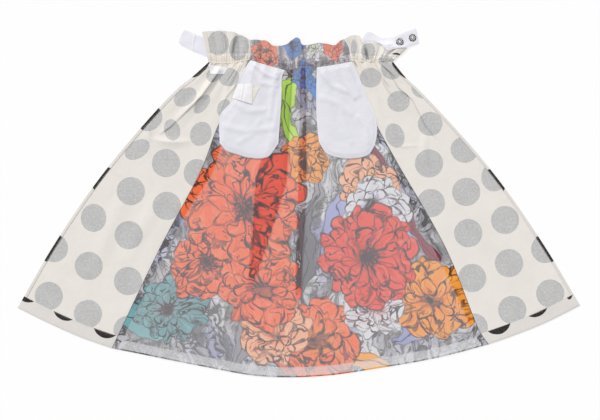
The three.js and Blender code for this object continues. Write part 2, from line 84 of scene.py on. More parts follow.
def add_lamp(name):
    lamp = in_scene(name, bpy.data.lights.new(name, "SUN"))
    lamp.data.energy = LAMP_STRENGTH
    lamp.data.angle = math.radians(LAMP_SPREAD)
    lamp.data.color = (1.0, 0.985, 0.965)
    lamp.rotation_euler = (math.radians(LAMP_TILT), 0, math.radians(LAMP_TURN))


def add_surrounding():
    SCENE.world = bpy.data.worlds.new("white_studio")
    SCENE.world.use_nodes = True
    light = SCENE.world.node_tree.nodes["Background"].inputs
    light["Color"].default_value = (0.97, 0.98, 1.0, 1)
    light["Strength"].default_value = SURROUNDING


def deselect_all():
    for thing in bpy.context.selected_objects:
        thing.select_set(False)
    bpy.context.view_layer.objects.active = None


add_camera()
add_lamp("softbox_upper_left")
add_surrounding()
SCENE.view_settings.view_transform = "Standard"
deselect_all()
bpy.ops.mesh.primitive_plane_add(size=TABLE_SIZE, location=(0, 0, TABLE_LEVEL * MM))
table_top = bpy.context.active_object
table_top.name = "table_top"
print("camera at", tuple(round(v, 3) for v in SCENE.camera.location))

# %% [markdown]
# The outline of each sewn piece is a smooth curve through a few measured places, in millimetres.
# A patch fills the space between four such curves, so neighbours that share a curve meet exactly.

# %% Smooth curves and patches
CURVE_STEPS = 600
NOISE_CELLS = 64


def mix(start, end, share):
    return start * (1 - share) + end * share


def ease(share):
    held = np.clip(share, 0, 1)
    return held * held * (3 - 2 * held)


def smooth_line(points):
    """Shares of the length, and places, along a centripetal Catmull-Rom curve."""
    given = np.array(points, float)
    held = np.vstack([2 * given[0] - given[1], given, 2 * given[-1] - given[-2]])
    steps = np.linspace(0, len(given) - 1, CURVE_STEPS + 1)
    index = np.minimum(steps.astype(int), len(given) - 2)
    t = (steps - index)[:, None]
    a, b, c, d = (held[index + k] for k in range(4))
    ab, bc, cd = (np.sqrt(np.linalg.norm(m - n, axis=1))[:, None] for m, n in ((b, a), (c, b), (d, c)))
    start = bc * ((b - a) / ab - (c - a) / (ab + bc) + (c - b) / bc)
    end = bc * ((c - b) / bc - (d - b) / (bc + cd) + (d - c) / cd)
    line = b + start * t + (3 * (c - b) - 2 * start - end) * t**2 + (2 * (b - c) + start + end) * t**3
    run = np.concatenate([[0], np.cumsum(np.linalg.norm(np.diff(line, axis=0), axis=1))])
    return run / run[-1], line


def along(points, shares):
    run, line = smooth_line(points)
    return np.stack([np.interp(shares, run, line[:, 0]), np.interp(shares, run, line[:, 1])], axis=-1)


def patch(edges, downs, across):
    """Places between four edges. across may have a row of its own for each share down."""
    across = np.broadcast_to(across, (len(downs), np.shape(across)[-1]))
    u, v = across[..., None], np.asarray(downs)[:, None, None]
    sides = mix(along(edges["left"], downs)[:, None], along(edges["right"], downs)[:, None], u)
    ends = mix(along(edges["top"], across), along(edges["bottom"], across), v)
    left, right = (along(edges[side], np.array([0.0, 1.0])) for side in ("left", "right"))
    corners = mix(mix(left[0], right[0], u), mix(left[1], right[1], u), v)
    return sides + ends - corners


def soft_noise(x, y, step, seed):
    """Smooth random hills about one step apart, from -1 to 1, the same on each run."""
    table = np.random.default_rng(seed).uniform(-1, 1, (NOISE_CELLS, NOISE_CELLS))
    across, up = np.floor(x / step).astype(int), np.floor(y / step).astype(int)
    share_x, share_y = ease(x / step - across), ease(y / step - up)
    low, high = (mix(table[across % NOISE_CELLS, row % NOISE_CELLS],
                     table[(across + 1) % NOISE_CELLS, row % NOISE_CELLS], share_x) for row in (up, up + 1))
    return mix(low, high, share_y)


# %% Outlines of the panels and of the heading above the waist
DROP = 780.0
EDGE = {
    "left": [(-226, 351), (-267, 314), (-307, 282), (-432, 144), (-520, 32), (-620, -118), (-703, -263)],
    "right": [(235, 352), (268, 312), (300, 282), (428, 144), (518, 32), (620, -118), (703, -257)],
    "left_seam": [(-122, 358), (-130, 338), (-158, 262), (-199, 200), (-245, 82), (-347, -111), (-468, -364)],
    "right_seam": [(130, 355), (136, 338), (160, 270), (195, 194), (242, 108), (370, -118), (453, -322),
                   (475, -354)],
    "left_hem": [(-703, -263), (-622, -303), (-547, -336), (-468, -364)],
    "front_hem": [(-468, -364), (-397, -378), (-247, -408), (-97, -433.5), (53, -433.5), (203, -413),
                  (353, -386), (475, -354)],
    "right_hem": [(475, -354), (540, -331), (615, -301), (703, -257)],
    "left_waist": [(-226, 351), (-197, 348), (-160, 350), (-122, 358)],
    "front_waist": [(-122, 358), (-92, 349), (-35, 332), (3, 336), (45, 339), (90, 346), (130, 355)],
    "right_waist": [(130, 355), (165, 352), (203, 354), (235, 352)],
    "left_top": [(-242, 427), (-197, 429), (-170, 427), (-153, 422), (-122, 407)],
    "front_top": [(-122, 407), (-82, 404), (-62, 392), (-27, 397), (-20, 404), (-7, 412), (2, 408),
                  (9, 394), (53, 399), (90, 394), (103, 404), (113, 409)],
    "right_top": [(113, 409), (133, 417), (150, 417), (160, 400), (190, 401), (240, 392), (272, 387)],
    "left_end": [(-242, 427), (-234, 390), (-226, 351)],
    "left_joint": [(-122, 407), (-121, 380), (-122, 358)],
    "right_joint": [(113, 409), (124, 389), (130, 355)],
    "right_end": [(272, 387), (262, 376), (247, 363), (235, 352)],
}


def four_edges(top, bottom, left, right):
    return {"top": EDGE[top], "bottom": EDGE[bottom], "left": EDGE[left], "right": EDGE[right]}


PANEL_EDGES = {
    "left": four_edges("left_waist", "left_hem", "left", "left_seam"),
    "front": four_edges("front_waist", "front_hem", "left_seam", "right_seam"),
    "right": four_edges("right_waist", "right_hem", "right_seam", "right"),
}
HEADING_EDGES = {
    "left": four_edges("left_top", "left_waist", "left_end", "left_joint"),
    "front": four_edges("front_top", "front_waist", "left_joint", "right_joint"),
    "right": four_edges("right_top", "right_waist", "right_joint", "right_end"),
}
print("panels:", list(PANEL_EDGES))

# %% [markdown]
# Cloth that is drawn up at a waist stands in waves there, which run out into long soft folds. The
# large folds are the same as those of the CAD solids. Finer puckers, each with a height and a length
# of its own, come on top of them, because the eye knows cloth by its uneven small folds.

# %% Folds and gathers
FOLDS = [
    # from, via, to, height, half widths at the start, bend and end, kind
    ((-200, 330), (-240, 269), (-322, 184), 7.0, (13, 17, 30), "held"),
    ((-372, 157), (-322, 149), (-262, 152), 3.0, (16, 18, 16), "free"),
    ((-147, 344), (-177, 294), (-190, 232), 4.5, (10, 14, 16), "held"),
    ((-398, 214), (-376, 178), (-392, 128), 3.0, (16, 22, 20), "free"),
    ((-420, 60), (-470, -60), (-520, -190), 2.6, (26, 34, 30), "free"),
    ((-330, 60), (-385, -50), (-450, -180), 2.2, (22, 30, 26), "free"),
    ((228, 344), (253, 294), (330, 168), 6.5, (9, 16, 26), "held"),
    ((200, 346), (213, 305), (236, 262), 5.0, (9, 12, 14), "held"),
    ((168, 346), (196, 260), (216, 172), 3.4, (9, 14, 16), "held"),
    ((312, 176), (314, 128), (324, 70), 3.0, (14, 20, 20), "free"),
    ((380, 66), (430, -30), (470, -130), 2.6, (24, 32, 28), "free"),
    ((470, 20), (520, -80), (575, -200), 2.2, (24, 32, 28), "free"),
    ((-22, 336), (-68, 60), (-124, -226), 3.0, (8, 40, 6), "pressed"),
    ((10, 336), (9, 40), (-4, -262), 2.2, (7, 12, 9), "pressed"),
    ((24, 338), (38, 160), (52, -30), 4.0, (8, 12, 18), "held"),
    ((110, 110), (134, -40), (170, -200), 2.6, (20, 26, 24), "free"),
    ((230, -20), (280, -130), (330, -260), 2.6, (22, 32, 28), "free"),
    ((-250, -40), (-290, -150), (-345, -270), 2.4, (22, 30, 26), "free"),
]
GATHERS = {  # waves, height, reach down the cloth, fine puckers, their height and their seed
    "left": (4, 2.8, 70, 15, 1.5, 3),
    "front": (9, 3.0, 90, 38, 1.5, 5),
    "right": (4, 3.4, 80, 15, 1.6, 8),
}
PUCKER_REACH = [18, 26, 38, 60]


def beside_line(points, x, y):
    """How far along a line of points each place lies, and how far left of it, or right if negative."""
    points = np.array(points, float)
    length = np.linalg.norm(np.diff(points, axis=0), axis=1)
    nearest, share, aside, done = np.full(x.shape, np.inf), np.zeros(x.shape), np.zeros(x.shape), 0.0
    for start, end, long in zip(points[:-1], points[1:], length):
        run = (end - start) / long
        reach = np.clip((x - start[0]) * run[0] + (y - start[1]) * run[1], 0, long)
        off_x, off_y = x - start[0] - reach * run[0], y - start[1] - reach * run[1]
        distance = np.hypot(off_x, off_y)
        nearer = distance < nearest
        nearest = np.where(nearer, distance, nearest)
        share = np.where(nearer, (done + reach) / length.sum(), share)
        aside = np.where(nearer, np.where(run[0] * off_y - run[1] * off_x > 0, distance, -distance), aside)
        done += long
    return share, aside


def fold_height(fold, x, y):
    start, bend, end, rise, widths, kind = fold
    first, by_first = beside_line((start, bend), x, y)
    second, by_second = beside_line((bend, end), x, y)
    by_first, by_second = np.abs(by_first), np.abs(by_second)
    share = np.where(by_first <= by_second, first / 2, 0.5 + second / 2)
    lengthwise = np.sin(share * np.pi) if kind == "free" else np.cos(share * np.pi / 2)
    across = 1 - np.minimum(by_first, by_second) / np.interp(share, [0, 0.5, 1], widths)
    return rise * (lengthwise * ease(across * 3 if kind == "pressed" else across))


def puckers(u, down, count, rise, seed):
    """Small uneven puckers that run down from the casing and drift sideways as they die out."""
    random = np.random.default_rng(seed)
    height = np.zeros(np.broadcast_shapes(u.shape, down.shape))
    for index in range(count):
        middle = (index + 0.5 + random.uniform(-0.3, 0.3)) / count
        width = random.uniform(0.38, 0.62) / count
        drift = random.uniform(-0.25, 0.25) / count / 40
        reach = random.choice(PUCKER_REACH) * random.uniform(0.8, 1.3)
        tall = rise * random.uniform(0.45, 1.0)
        spread = width * (1 + down / reach * 0.35)
        shape = ease(1 - np.abs(u - middle - drift * down) / spread)
        height = np.maximum(height, tall * shape * np.exp(-((down / reach) ** 1.4)))
    return height


def panel_height(side, x, y, u, down):
    """Height of the lower face of a panel over the table."""
    waves, rise, reach, count, fine, seed = GATHERS[side]
    wave = (1 - np.cos(2 * np.pi * waves * u)) / 2
    gather = rise * (1 + 0.3 * np.sin(11 * u + 0.7)) * wave * np.exp(-down / reach)
    drape = 0.35 * (1 + soft_noise(x * 0.9 + y * 0.25, y * 0.22, 34, seed + 20))
    small = 0.16 * (1 + soft_noise(x, y * 0.5, 9, seed + 40))
    large = np.maximum(np.max([fold_height(fold, x, y) for fold in FOLDS], axis=0), gather)
    return large + puckers(u, down, count, fine, seed) + drape + small


print("folds:", len(FOLDS), "fine puckers:", sum(entry[3] for entry in GATHERS.values()))

# %% [markdown]
# A few folds are creased so hard that they show as a line: the cloth rises gently on one side and
# drops at once on the other. So each line gives a height and also marks that the finish can read.
# These are painted shade: a dark tan line along the crease, and black where the line crosses a dot.

# %% Sharp creases of the cotton panels
CREASES = [
    # places along the crease, rise, width of its gentle side, +1 if that is left of the line, painted shade
    ([(-199, 330), (-203, 320), (-240, 269), (-268, 240), (-306, 203)], 2.6, 15, -1, 1.0),
    ([(-306, 203), (-322, 188), (-345, 172)], 1.4, 12, -1, 0.6),
    ([(-152, 346), (-170, 318), (-182, 300)], 1.6, 9, -1, 0.3),
    ([(-372, 158), (-340, 150), (-300, 149), (-270, 151)], 1.0, 12, 1, 0.0),
    ([(-382, 206), (-374, 190), (-370, 170)], 1.1, 8, -1, 0.0),
    ([(-128, 342), (-152, 300), (-182, 262), (-196, 225)], 1.4, 10, -1, 0.0),
    ([(204, 346), (225, 328), (240, 312)], 2.4, 12, 1, 0.55),
    ([(206, 316), (214, 304), (222, 290)], 2.0, 8, 1, 0.5),
    ([(214, 344), (248, 287), (283, 257), (315, 194), (338, 165)], 2.0, 16, 1, 0.3),
    ([(192, 346), (206, 320), (212, 296), (236, 262)], 1.6, 10, 1, 0.0),
    ([(312, 165), (314, 130), (318, 95)], 1.2, 14, 1, 0.0),
    ([(235, 142), (262, 138), (300, 141)], 0.9, 9, 1, 0.0),
    ([(160, 345), (172, 310), (180, 280)], 1.6, 9, 1, 0.0),
    ([(-119, 364), (-127, 352), (-134, 339)], 0.5, 3, -1, 1.7),
    ([(136, 358), (140, 349), (145, 339)], 0.5, 3, 1, 1.7),
]
STEEP_SIDE = 1.6
CREASE_RISE = 1.35
LINE_WIDTH = 1.5
FAINT_SHADE_LINE = 0.12
STRONG_SHADE_LINE = 0.45


def crease_marks(x, y):
    """Height of the creases, where they paint the dots black as shade, and how dark a line of painted
    shade they draw.
    """
    found = []
    for points, rise, gentle, side, mark in CREASES:
        share, aside = beside_line(points, x, y)
        fade = np.sin(np.pi * np.clip(share * 0.94 + 0.03, 0, 1)) ** 0.5
        slope = fade * ease(1 - np.abs(aside) / np.where(aside * side > 0, gentle, STEEP_SIDE))
        line = fade * np.exp(-((aside / LINE_WIDTH) ** 2))
        # Painted shade: the second value blackens the dots along the line, and the third darkens the cloth
        # there.
        found.append((CREASE_RISE * rise * slope, mark * line, (FAINT_SHADE_LINE + STRONG_SHADE_LINE * mark) * line))
    return np.max(found, axis=0)


print("sharp creases:", len(CREASES))

# %% [markdown]
# The cotton has large round dots in a slanted lattice. Each dot is written on the cloth's own points
# as the distance to the dot's edge, so its rim is sharp however the cloth lies, and the finish only
# has to compare that number with zero. Dots near the waist are drawn narrower by the gathers.

# %% Dots, in millimetres: place, width, height and turn in degrees
DOT = 70.5
PANEL_DOTS = {
    "left": [
        (-625, -233), (-527, -278), (-525, -158), (-427, -196), (-425, -81), (-513, -38, 64, 70, 0),
        (-420, 29), (-330, -8), (-332, 99), (-428, -318), (-612, -113.5), (-255, 74, 66, 70, 0),
        (-404, 133, 68, 44, 32), (-317, 182, 40, 54, 15), (-245, 172, 52, 62, -25),
        (-284, 264, 62, 42, 32), (-242, 246, 56, 28, 51), (-175, 314, 52, 46, 0), (-216, 316, 30, 32, 30),
        (-369, 207, 64, 48, 46), (-187, 236, 34, 46, -20),
    ],
    "right": [
        (433, -188), (533, -268), (525, -151), (628, -227), (423, -76), (418, 27), (515, -43), (325, 98),
        (413, 132, 68, 64, -20), (328, 197, 62, 60, 10), (249, 253, 56, 52, 0), (240, 168, 46, 62, 20),
        (330, -1), (487, 64, 62, 72, 0), (308, 287, 56, 52, -30), (179, 312, 54, 50, 0),
        (229, 330, 52, 42, -35), (217, 354, 40, 26, -8), (437, -312), (615.5, -115.5),
    ],
}
HEADING_DOTS = {
    "left": [(-202, 398, 54, 61, 0), (-150, 387, 48, 64, -12)],
    "front": [],
    "right": [(137, 386, 15, 42, 0), (173, 378, 36, 41, 0), (219, 356, 38, 22, -10)],
}
SIDE_HEM_DOTS = {
    "left": [(-246, 334, 60, 20, 43), (-371, 209, 66, 70, 0), (-484, 54), (-615, -114, 74, 74, 0)],
    "right": [(251, 331, 54, 14, -47), (482, 49), (614, -116.5, 74, 74, 0)],
}
HEM_DOTS = {
    "left": [(-674, -214), (-579, -260), (-478.5, -303.5)],
    "right": [(675, -218, 20, 49, 0), (587, -251), (494, -294)],
}
END_DOTS = {"left": [], "right": [(243.5, 367.5, 23, 13, -8)]}
FAR_FROM_DOTS = 200.0


def inside_dots(dots, x, y):
    """Distance inside the nearest dot's edge in millimetres, negative outside every dot."""
    inside = np.full(x.shape, -FAR_FROM_DOTS)
    for place_x, place_y, *shape in dots:
        wide, tall, turn = shape or (DOT, DOT, 0)
        across, up = math.cos(math.radians(turn)), math.sin(math.radians(turn))
        off_x, off_y = x - place_x, y - place_y
        share_x = (off_x * across + off_y * up) * 2 / wide
        share_y = (off_y * across - off_x * up) * 2 / tall
        inside = np.maximum(inside, (1 - np.hypot(share_x, share_y)) * min(wide, tall) / 2)
    return inside + 0.35 * soft_noise(x, y, 6, 90)


print("dots on the panels:", {side: len(dots) for side, dots in PANEL_DOTS.items()})

# %% [markdown]
# A piece of cloth is a grid of points at its upper face, and Solidify gives it its thickness
# downwards. Its UV map holds the place on the flat cloth in metres, so weave and print follow the
# cloth. What is laid later finds the height of the cloth under it with a ray from above.

# %% Making and laying cloth
FLAT_MAP = "flat_cloth"
SMOOTH_ANGLE = 50
laid = []


def grid_faces(rows, columns):
    corner = np.arange(rows * columns).reshape(rows, columns)
    return np.stack([corner[:-1, :-1], corner[1:, :-1], corner[1:, 1:], corner[:-1, 1:]], -1).reshape(-1, 4)


def thicken(piece, thickness, inner_finish):
    deselect_all()
    piece.select_set(True)
    bpy.context.view_layer.objects.active = piece
    shell = piece.modifiers.new("thickness", "SOLIDIFY")
    shell.thickness = thickness * MM
    shell.offset = -1
    shell.material_offset = inner_finish
    bpy.ops.object.modifier_apply(modifier=shell.name)
    bpy.ops.object.shade_smooth_by_angle(angle=math.radians(SMOOTH_ANGLE))


def cloth(name, node, points, thickness, finishes, marks):
    """A thin shell under a grid of points, in millimetres, that rides on the root body."""
    rows, columns = points.shape[:2]
    faces = grid_faces(rows, columns)
    corners = points.reshape(-1, 3)
    laid.append(BVHTree.FromPolygons(corners.tolist(), faces.tolist()))
    mesh = bpy.data.meshes.new(name)
    mesh.from_pydata((corners * MM).tolist(), [], faces.tolist())
    places = corners[:, :2] * MM
    mesh.uv_layers.new(name=FLAT_MAP).data.foreach_set("uv", places[faces.ravel()].ravel())
    for mark, values in marks.items():
        values = np.broadcast_to(values, (rows, columns)).astype(np.float32)
        mesh.attributes.new(mark, "FLOAT", "POINT").data.foreach_set("value", values.ravel())
    for finish in finishes:
        mesh.materials.append(finish)
    piece = in_scene(name, mesh)
    thicken(piece, thickness, len(finishes) - 1)
    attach(piece, "root")
    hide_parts(node)
    print(name, "top", round(float(points[..., 2].max()), 1), "mm")


def top_at(places):
    """Height of the highest cloth laid so far under each place, and 0 on the table."""
    flat = places.reshape(-1, 2)
    heights = np.zeros(len(flat))
    for index, (x, y) in enumerate(flat.tolist()):
        for tree in laid:
            hit = tree.ray_cast((x, y, 100.0), (0, 0, -1))[0]
            if hit is not None and hit.z > heights[index]:
                heights[index] = hit.z
    return heights.reshape(places.shape[:-1])


def bridged(floor, passes):
    """Pulls a sheet taut over what it lies on: it may rise off a hollow but never sinks in."""
    heights = floor
    for _ in range(passes):
        around = np.pad(heights, 1, mode="edge")
        mean = (around[:-2, 1:-1] + around[2:, 1:-1] + around[1:-1, :-2] + around[1:-1, 2:]) / 4
        heights = np.maximum(floor, mean)
    return heights


# %% [markdown]
# Every finish is built from shader nodes. To keep that short, an output of a node is held as a wire,
# which can be added, taken away, multiplied and divided like a number: each sign adds a math node.
# A colour is given as it looks on a screen, from 0 to 255, and is turned into light values.

# %% Shader helpers
def in_sums(operation, swapped=False):
    def add_step(wire, other):
        return calc(operation, *((other, wire) if swapped else (wire, other)))
    return add_step


class Wire:
    """One output of a shader node, for use in sums."""
    __add__ = __radd__ = in_sums("ADD")
    __mul__ = __rmul__ = in_sums("MULTIPLY")
    __sub__, __rsub__ = in_sums("SUBTRACT"), in_sums("SUBTRACT", swapped=True)
    __truediv__, __rtruediv__ = in_sums("DIVIDE"), in_sums("DIVIDE", swapped=True)

    def __init__(self, socket):
        self.socket = socket
        self.tree = socket.id_data


def linear(colour):
    return (*[((c / 255 + 0.055) / 1.055) ** 2.4 if c > 10 else c / 255 / 12.92 for c in colour], 1)


def plug(socket, value):
    if isinstance(value, Wire):
        value.tree.links.new(value.socket, socket)
    else:
        socket.default_value = linear(value) if socket.type == "RGBA" else value


def add_node(kind, inputs, tree=None, **settings):
    """A node in the same tree as the wires that go into it, or else in the tree that is given."""
    tree = tree or next(value.tree for value in inputs.values() if isinstance(value, Wire))
    made = tree.nodes.new(kind)
    for key, value in settings.items():
        setattr(made, key, value)
    for key, value in inputs.items():
        plug(made.inputs[key], value)
    return made.outputs


def one_wire(kind, inputs, output=0, **settings):
    return Wire(add_node(kind, inputs, **settings)[output])


def use_group(group, inputs):
    return {socket.name: Wire(socket) for socket in add_node("ShaderNodeGroup", inputs, node_tree=group)}


def new_group(name, inputs, work_out):
    """A node group. An input without a value is a place, and work_out gives the outputs by name."""
    tree = bpy.data.node_groups.new(name, "ShaderNodeTree")
    for label, value in inputs.items():
        kind = "NodeSocketVector" if value is None else "NodeSocketFloat"
        socket = tree.interface.new_socket(name=label, in_out="INPUT", socket_type=kind)
        if value is not None:
            socket.default_value = value
    results = work_out({socket.name: Wire(socket) for socket in tree.nodes.new("NodeGroupInput").outputs})
    for label in results:
        tree.interface.new_socket(name=label, in_out="OUTPUT", socket_type="NodeSocketFloat")
    ends = tree.nodes.new("NodeGroupOutput").inputs
    for label, value in results.items():
        plug(ends[label], value)
    return tree


def calc(operation, *values, clamp=False):
    return one_wire("ShaderNodeMath", dict(enumerate(values)), operation=operation, use_clamp=clamp)


def shift_place(operation, *values):
    """A step of arithmetic on places. LENGTH gives a number, and the others give a place."""
    output = "Value" if operation == "LENGTH" else 0
    return one_wire("ShaderNodeVectorMath", dict(enumerate(values)), output, operation=operation)


def scaled(place, scale):
    return one_wire("ShaderNodeVectorMath", {0: place, "Scale": scale}, operation="SCALE")


def mapped(place, **moves):
    return one_wire("ShaderNodeMapping", {"Vector": place, **moves})


def x_and_y(place):
    return (one_wire("ShaderNodeSeparateXYZ", {"Vector": place}, axis) for axis in ("X", "Y"))


def step_up(value, low, high, first=0.0, last=1.0):
    """0 below low, 1 above high, with a soft change between them."""
    return one_wire("ShaderNodeMapRange", {
        "Value": value, "From Min": low, "From Max": high, "To Min": first, "To Max": last},
        interpolation_type="SMOOTHSTEP")


def step_down(value, low, high):
    return step_up(value, low, high, 1.0, 0.0)


def blend(share, under, over, mode="MIX"):
    return one_wire("ShaderNodeMix", {0: share, 6: under, 7: over}, 2, data_type="RGBA", blend_type=mode)


def noise(place, scale, detail=3.0, roughness=0.55, twist=0.0, output=0):
    return one_wire("ShaderNodeTexNoise", {"Vector": place, "Scale": scale, "Detail": detail,
                                           "Roughness": roughness, "Distortion": twist}, output)


def larger(one, other):
    return calc("MAXIMUM", one, other)


def changed(colour, by):
    return [min(255, c + by) for c in colour]


def new_finish(name, constants):
    """A material and its shader's sockets, with what is the same all over already set."""
    finish = bpy.data.materials.new(name)
    finish.use_nodes = True
    sockets = finish.node_tree.nodes["Principled BSDF"].inputs
    for key, value in constants.items():
        sockets[key].default_value = value
    return finish, sockets


# %% [markdown]
# Woven cloth shows its threads only from close by, yet without them it looks like paper. The weave
# group lifts a thread at every second crossing, makes some threads thicker, and adds a slow change
# of tone such as washed cloth has. All the cloths use it, each with its own thread.

# %% The weave, shared by every cloth
def weave(given):
    turn = math.pi / given["Thread"]
    warp, weft = (calc("SINE", way * turn) for way in x_and_y(given["Place"]))
    slub_x, slub_y = (noise(mapped(given["Place"], Scale=scale), 1.0, 2.0)
                      for scale in ((900, 60, 1), (60, 900, 1)))
    slub = slub_x + slub_y - 1.0
    return {"Height": slub * given["Uneven"] + (warp * weft * 0.5 + 0.5),
            "Tone": slub * 0.6 + (noise(given["Place"], 14.0) - 0.5)}


WEAVE = new_group("weave", {"Place": None, "Thread": 0.0006, "Uneven": 0.5}, weave)
THREAD_RELIEF = 0.00012


def mark_of(place, name):
    return one_wire("ShaderNodeAttribute", {}, "Fac", tree=place.tree, attribute_name=name)


def woven_finish(name, thread, uneven, crumples, constants):
    """The start of every cloth's finish. Its relief comes from the threads, and from the faint
    crumples between the modelled folds. Gives the place on the cloth and the weave's tone too."""
    finish, sockets = new_finish(name, constants)
    place = one_wire("ShaderNodeUVMap", {}, tree=finish.node_tree, uv_map=FLAT_MAP)
    woven = use_group(WEAVE, {"Place": place, "Thread": thread, "Uneven": uneven})
    fine = one_wire("ShaderNodeBump", {
        "Height": woven["Height"], "Distance": THREAD_RELIEF, "Strength": 0.6})
    soft = noise(place, 22.0, 4.0, 0.5, 0.6)
    plug(sockets["Normal"], one_wire("ShaderNodeBump", {
        "Height": soft, "Distance": crumples, "Strength": 0.7, "Normal": fine}))
    return finish, sockets, place, woven["Tone"]


def washed(tone, light, dark):
    return blend(step_up(tone, -0.5, 0.6), light, dark)


print("weave group:", WEAVE.name, "with", len(WEAVE.nodes), "nodes")

# %% [markdown]
# The dots are printed on the right side of the cotton. On the wrong side the ink only shows through,
# as a grey that is mottled by the cream threads over it. The turned hems show the right side, so
# there the dots are black.

# %% Cotton, wrong side and right side
WARM_CREAM, CREASE_SHADE, SHADE_BLACK = (240, 224, 200), (146, 132, 112), (38, 34, 36)


def cotton_finish(name, ground, ink, speckle):
    finish, sockets, place, tone = woven_finish(name, 0.00055, 0.7, 0.0016, {
        "Specular IOR Level": 0.25, "Sheen Weight": 0.15})
    inside = step_up(mark_of(place, "dots"), -0.5, 0.5)
    warm = blend(mark_of(place, "warm"), ground, WARM_CREAM)
    # Painted shade: the crease mark darkens the cloth to a tan line along the sharp creases.
    toned = blend(mark_of(place, "crease"), washed(tone, warm, changed(ground, -9)), CREASE_SHADE)
    cloudy = blend(step_up(noise(place, 26.0), 0.35, 0.65), ink, changed(ink, 5))
    flecks = step_up(noise(place, 190.0, 4.0, 0.8), 0.44, 0.62) * speckle
    # Painted shade: the turned mark paints the dots black along the sharp creases and the deepest frill
    # valleys.
    black = blend(mark_of(place, "turned"), blend(flecks, cloudy, toned), SHADE_BLACK)
    plug(sockets["Base Color"], blend(inside, toned, black))
    plug(sockets["Roughness"], noise(place, 420.0, 3.0, 0.7) * 0.12 + 0.82)
    return finish


COTTON_WRONG = cotton_finish("dotted_cotton_wrong_side", (238, 233, 226), (186, 186, 186), 0.36)
COTTON_RIGHT = cotton_finish("dotted_cotton_right_side", (229, 224, 219), (34, 30, 32), 0.05)
print("cotton finishes:", COTTON_WRONG.name, COTTON_RIGHT.name)

# %% [markdown]
# The two side panels come first. Each is as fine as its creases need, and thinner than its solid.

# %% Side panels of dotted cotton
COTTON = 1.2
THIN_COTTON = 0.7
SIDE_COLUMNS = 84
SIDE_ROWS = 200
SETTLE = 7
SIDE_SHEETS = {"left": (0.31, 0.80, 0.158, "table_top"), "right": (0.30, 0.80, 0.150, "table_top")}


def width_of_rows(side, downs):
    edges = PANEL_EDGES[side]
    return np.linalg.norm(along(edges["left"], downs) - along(edges["right"], downs), axis=-1)[:, None]


def layer_of_panel(side, downs, u, lift):
    """Points of a layer of a panel, and how far each lies from the panel's nearest long edge, where
    the panel lies down on the table."""
    places = patch(PANEL_EDGES[side], downs, u)
    x, y = places[..., 0], places[..., 1]
    u = np.broadcast_to(u, x.shape)
    heights = panel_height(side, x, y, u, downs[:, None] * DROP)
    if side != "front":
        heights = heights + crease_marks(x, y)[0]
    from_edge = np.minimum(u, 1 - u) * width_of_rows(side, downs)
    return np.dstack([places, heights * ease(from_edge / SETTLE) + lift]), from_edge


side_downs = np.linspace(0, 1, SIDE_ROWS)
side_across = np.linspace(0, 1, SIDE_COLUMNS)[None]
for side, sheet in SIDE_SHEETS.items():
    points, _ = layer_of_panel(side, side_downs, side_across, COTTON)
    # Painted shade along the creases: black in the dots and a dark tan line.
    _, turned, crease_shade_line = crease_marks(points[..., 0], points[..., 1])
    marks = {"dots": inside_dots(PANEL_DOTS[side], points[..., 0], points[..., 1]), "turned": turned,
             "crease": crease_shade_line, "warm": 0.5 * np.exp(-side_downs[:, None] * DROP / 22)}
    cloth("side_panel_" + side, "panel_" + side, points, THIN_COTTON,
          [COTTON_WRONG, COTTON_RIGHT], marks)

# %% [markdown]
# A turned hem is the panel's own edge folded over and stitched, so it lies on the panel and shows
# the right side. Its outer edge is rolled down to the table, as a real fold is.

# %% Turned side hems and bottom hems
GAP = 0.3
SIDE_HEM = 7.0
COTTON_HEM = 33.0
HEM_SHARE = (DROP - COTTON_HEM) / DROP
ROLL = 1.0
FOLD_AT = {"left": np.s_[:, 0], "right": np.s_[:, -1], "bottom": np.s_[-1]}
SIDE_HEM_STEPS = np.array([0, 0.04, 0.3, 0.65, 0.94, 1.0])


def turned_strip(name, side, downs, u, dots, node, fold):
    """A strip of the panel's own edge, turned over. fold names the side on which it is folded."""
    points, _ = layer_of_panel(side, downs, u, COTTON + GAP + THIN_COTTON)
    points[..., 2][FOLD_AT[fold]] -= ROLL
    marks = {"dots": inside_dots(dots, points[..., 0], points[..., 1]), "turned": 0.0, "warm": 0.0}
    cloth(name, node, points, THIN_COTTON - 0.1, [COTTON_RIGHT, COTTON_WRONG], marks)


def hem_shares(side, downs):
    """How much of each row of the panel its turned side hem takes, measured square to the edge."""
    edges = PANEL_EDGES[side]
    outer = along(edges[side], downs)
    inner = along(edges["right" if side == "left" else "left"], downs)
    slope = np.gradient(outer, axis=0)
    slope /= np.linalg.norm(slope, axis=1)[:, None]
    row = inner - outer
    width = np.linalg.norm(row, axis=1)
    row /= width[:, None]
    return SIDE_HEM / np.abs(slope[:, 0] * row[:, 1] - slope[:, 1] * row[:, 0]) / width


for side in ("left", "right"):
    downs = np.linspace(0, HEM_SHARE - 0.0005, SIDE_ROWS)
    shares = hem_shares(side, downs)[:, None] * SIDE_HEM_STEPS
    shares = shares if side == "left" else 1 - shares[:, ::-1]
    turned_strip("turned_side_hem_" + side, side, downs, shares, SIDE_HEM_DOTS[side],
                 "side_hem_" + side, side)
    turned_strip("turned_up_hem_" + side, side, np.linspace(HEM_SHARE, 1, 12), side_across, HEM_DOTS[side],
                 "hem_" + side, "bottom")

# %% [markdown]
# The print is a design of this lesson's own: loose garden flowers drawn in ink over washes of colour.
# Each flower is one node group with rings of petals round a centre. It gives where the flower is,
# how its tone runs, and where the ink line lies, so one group serves every flower of the print.

# %% The flower and leaf groups of the print
PETAL_RINGS = [  # radius of the ring's notches, length of its petals, and its turn in petals
    (0.12, 0.07, 0.5), (0.30, 0.26, 0.0), (0.56, 0.32, 0.5), (0.68, 0.32, 0.0)]


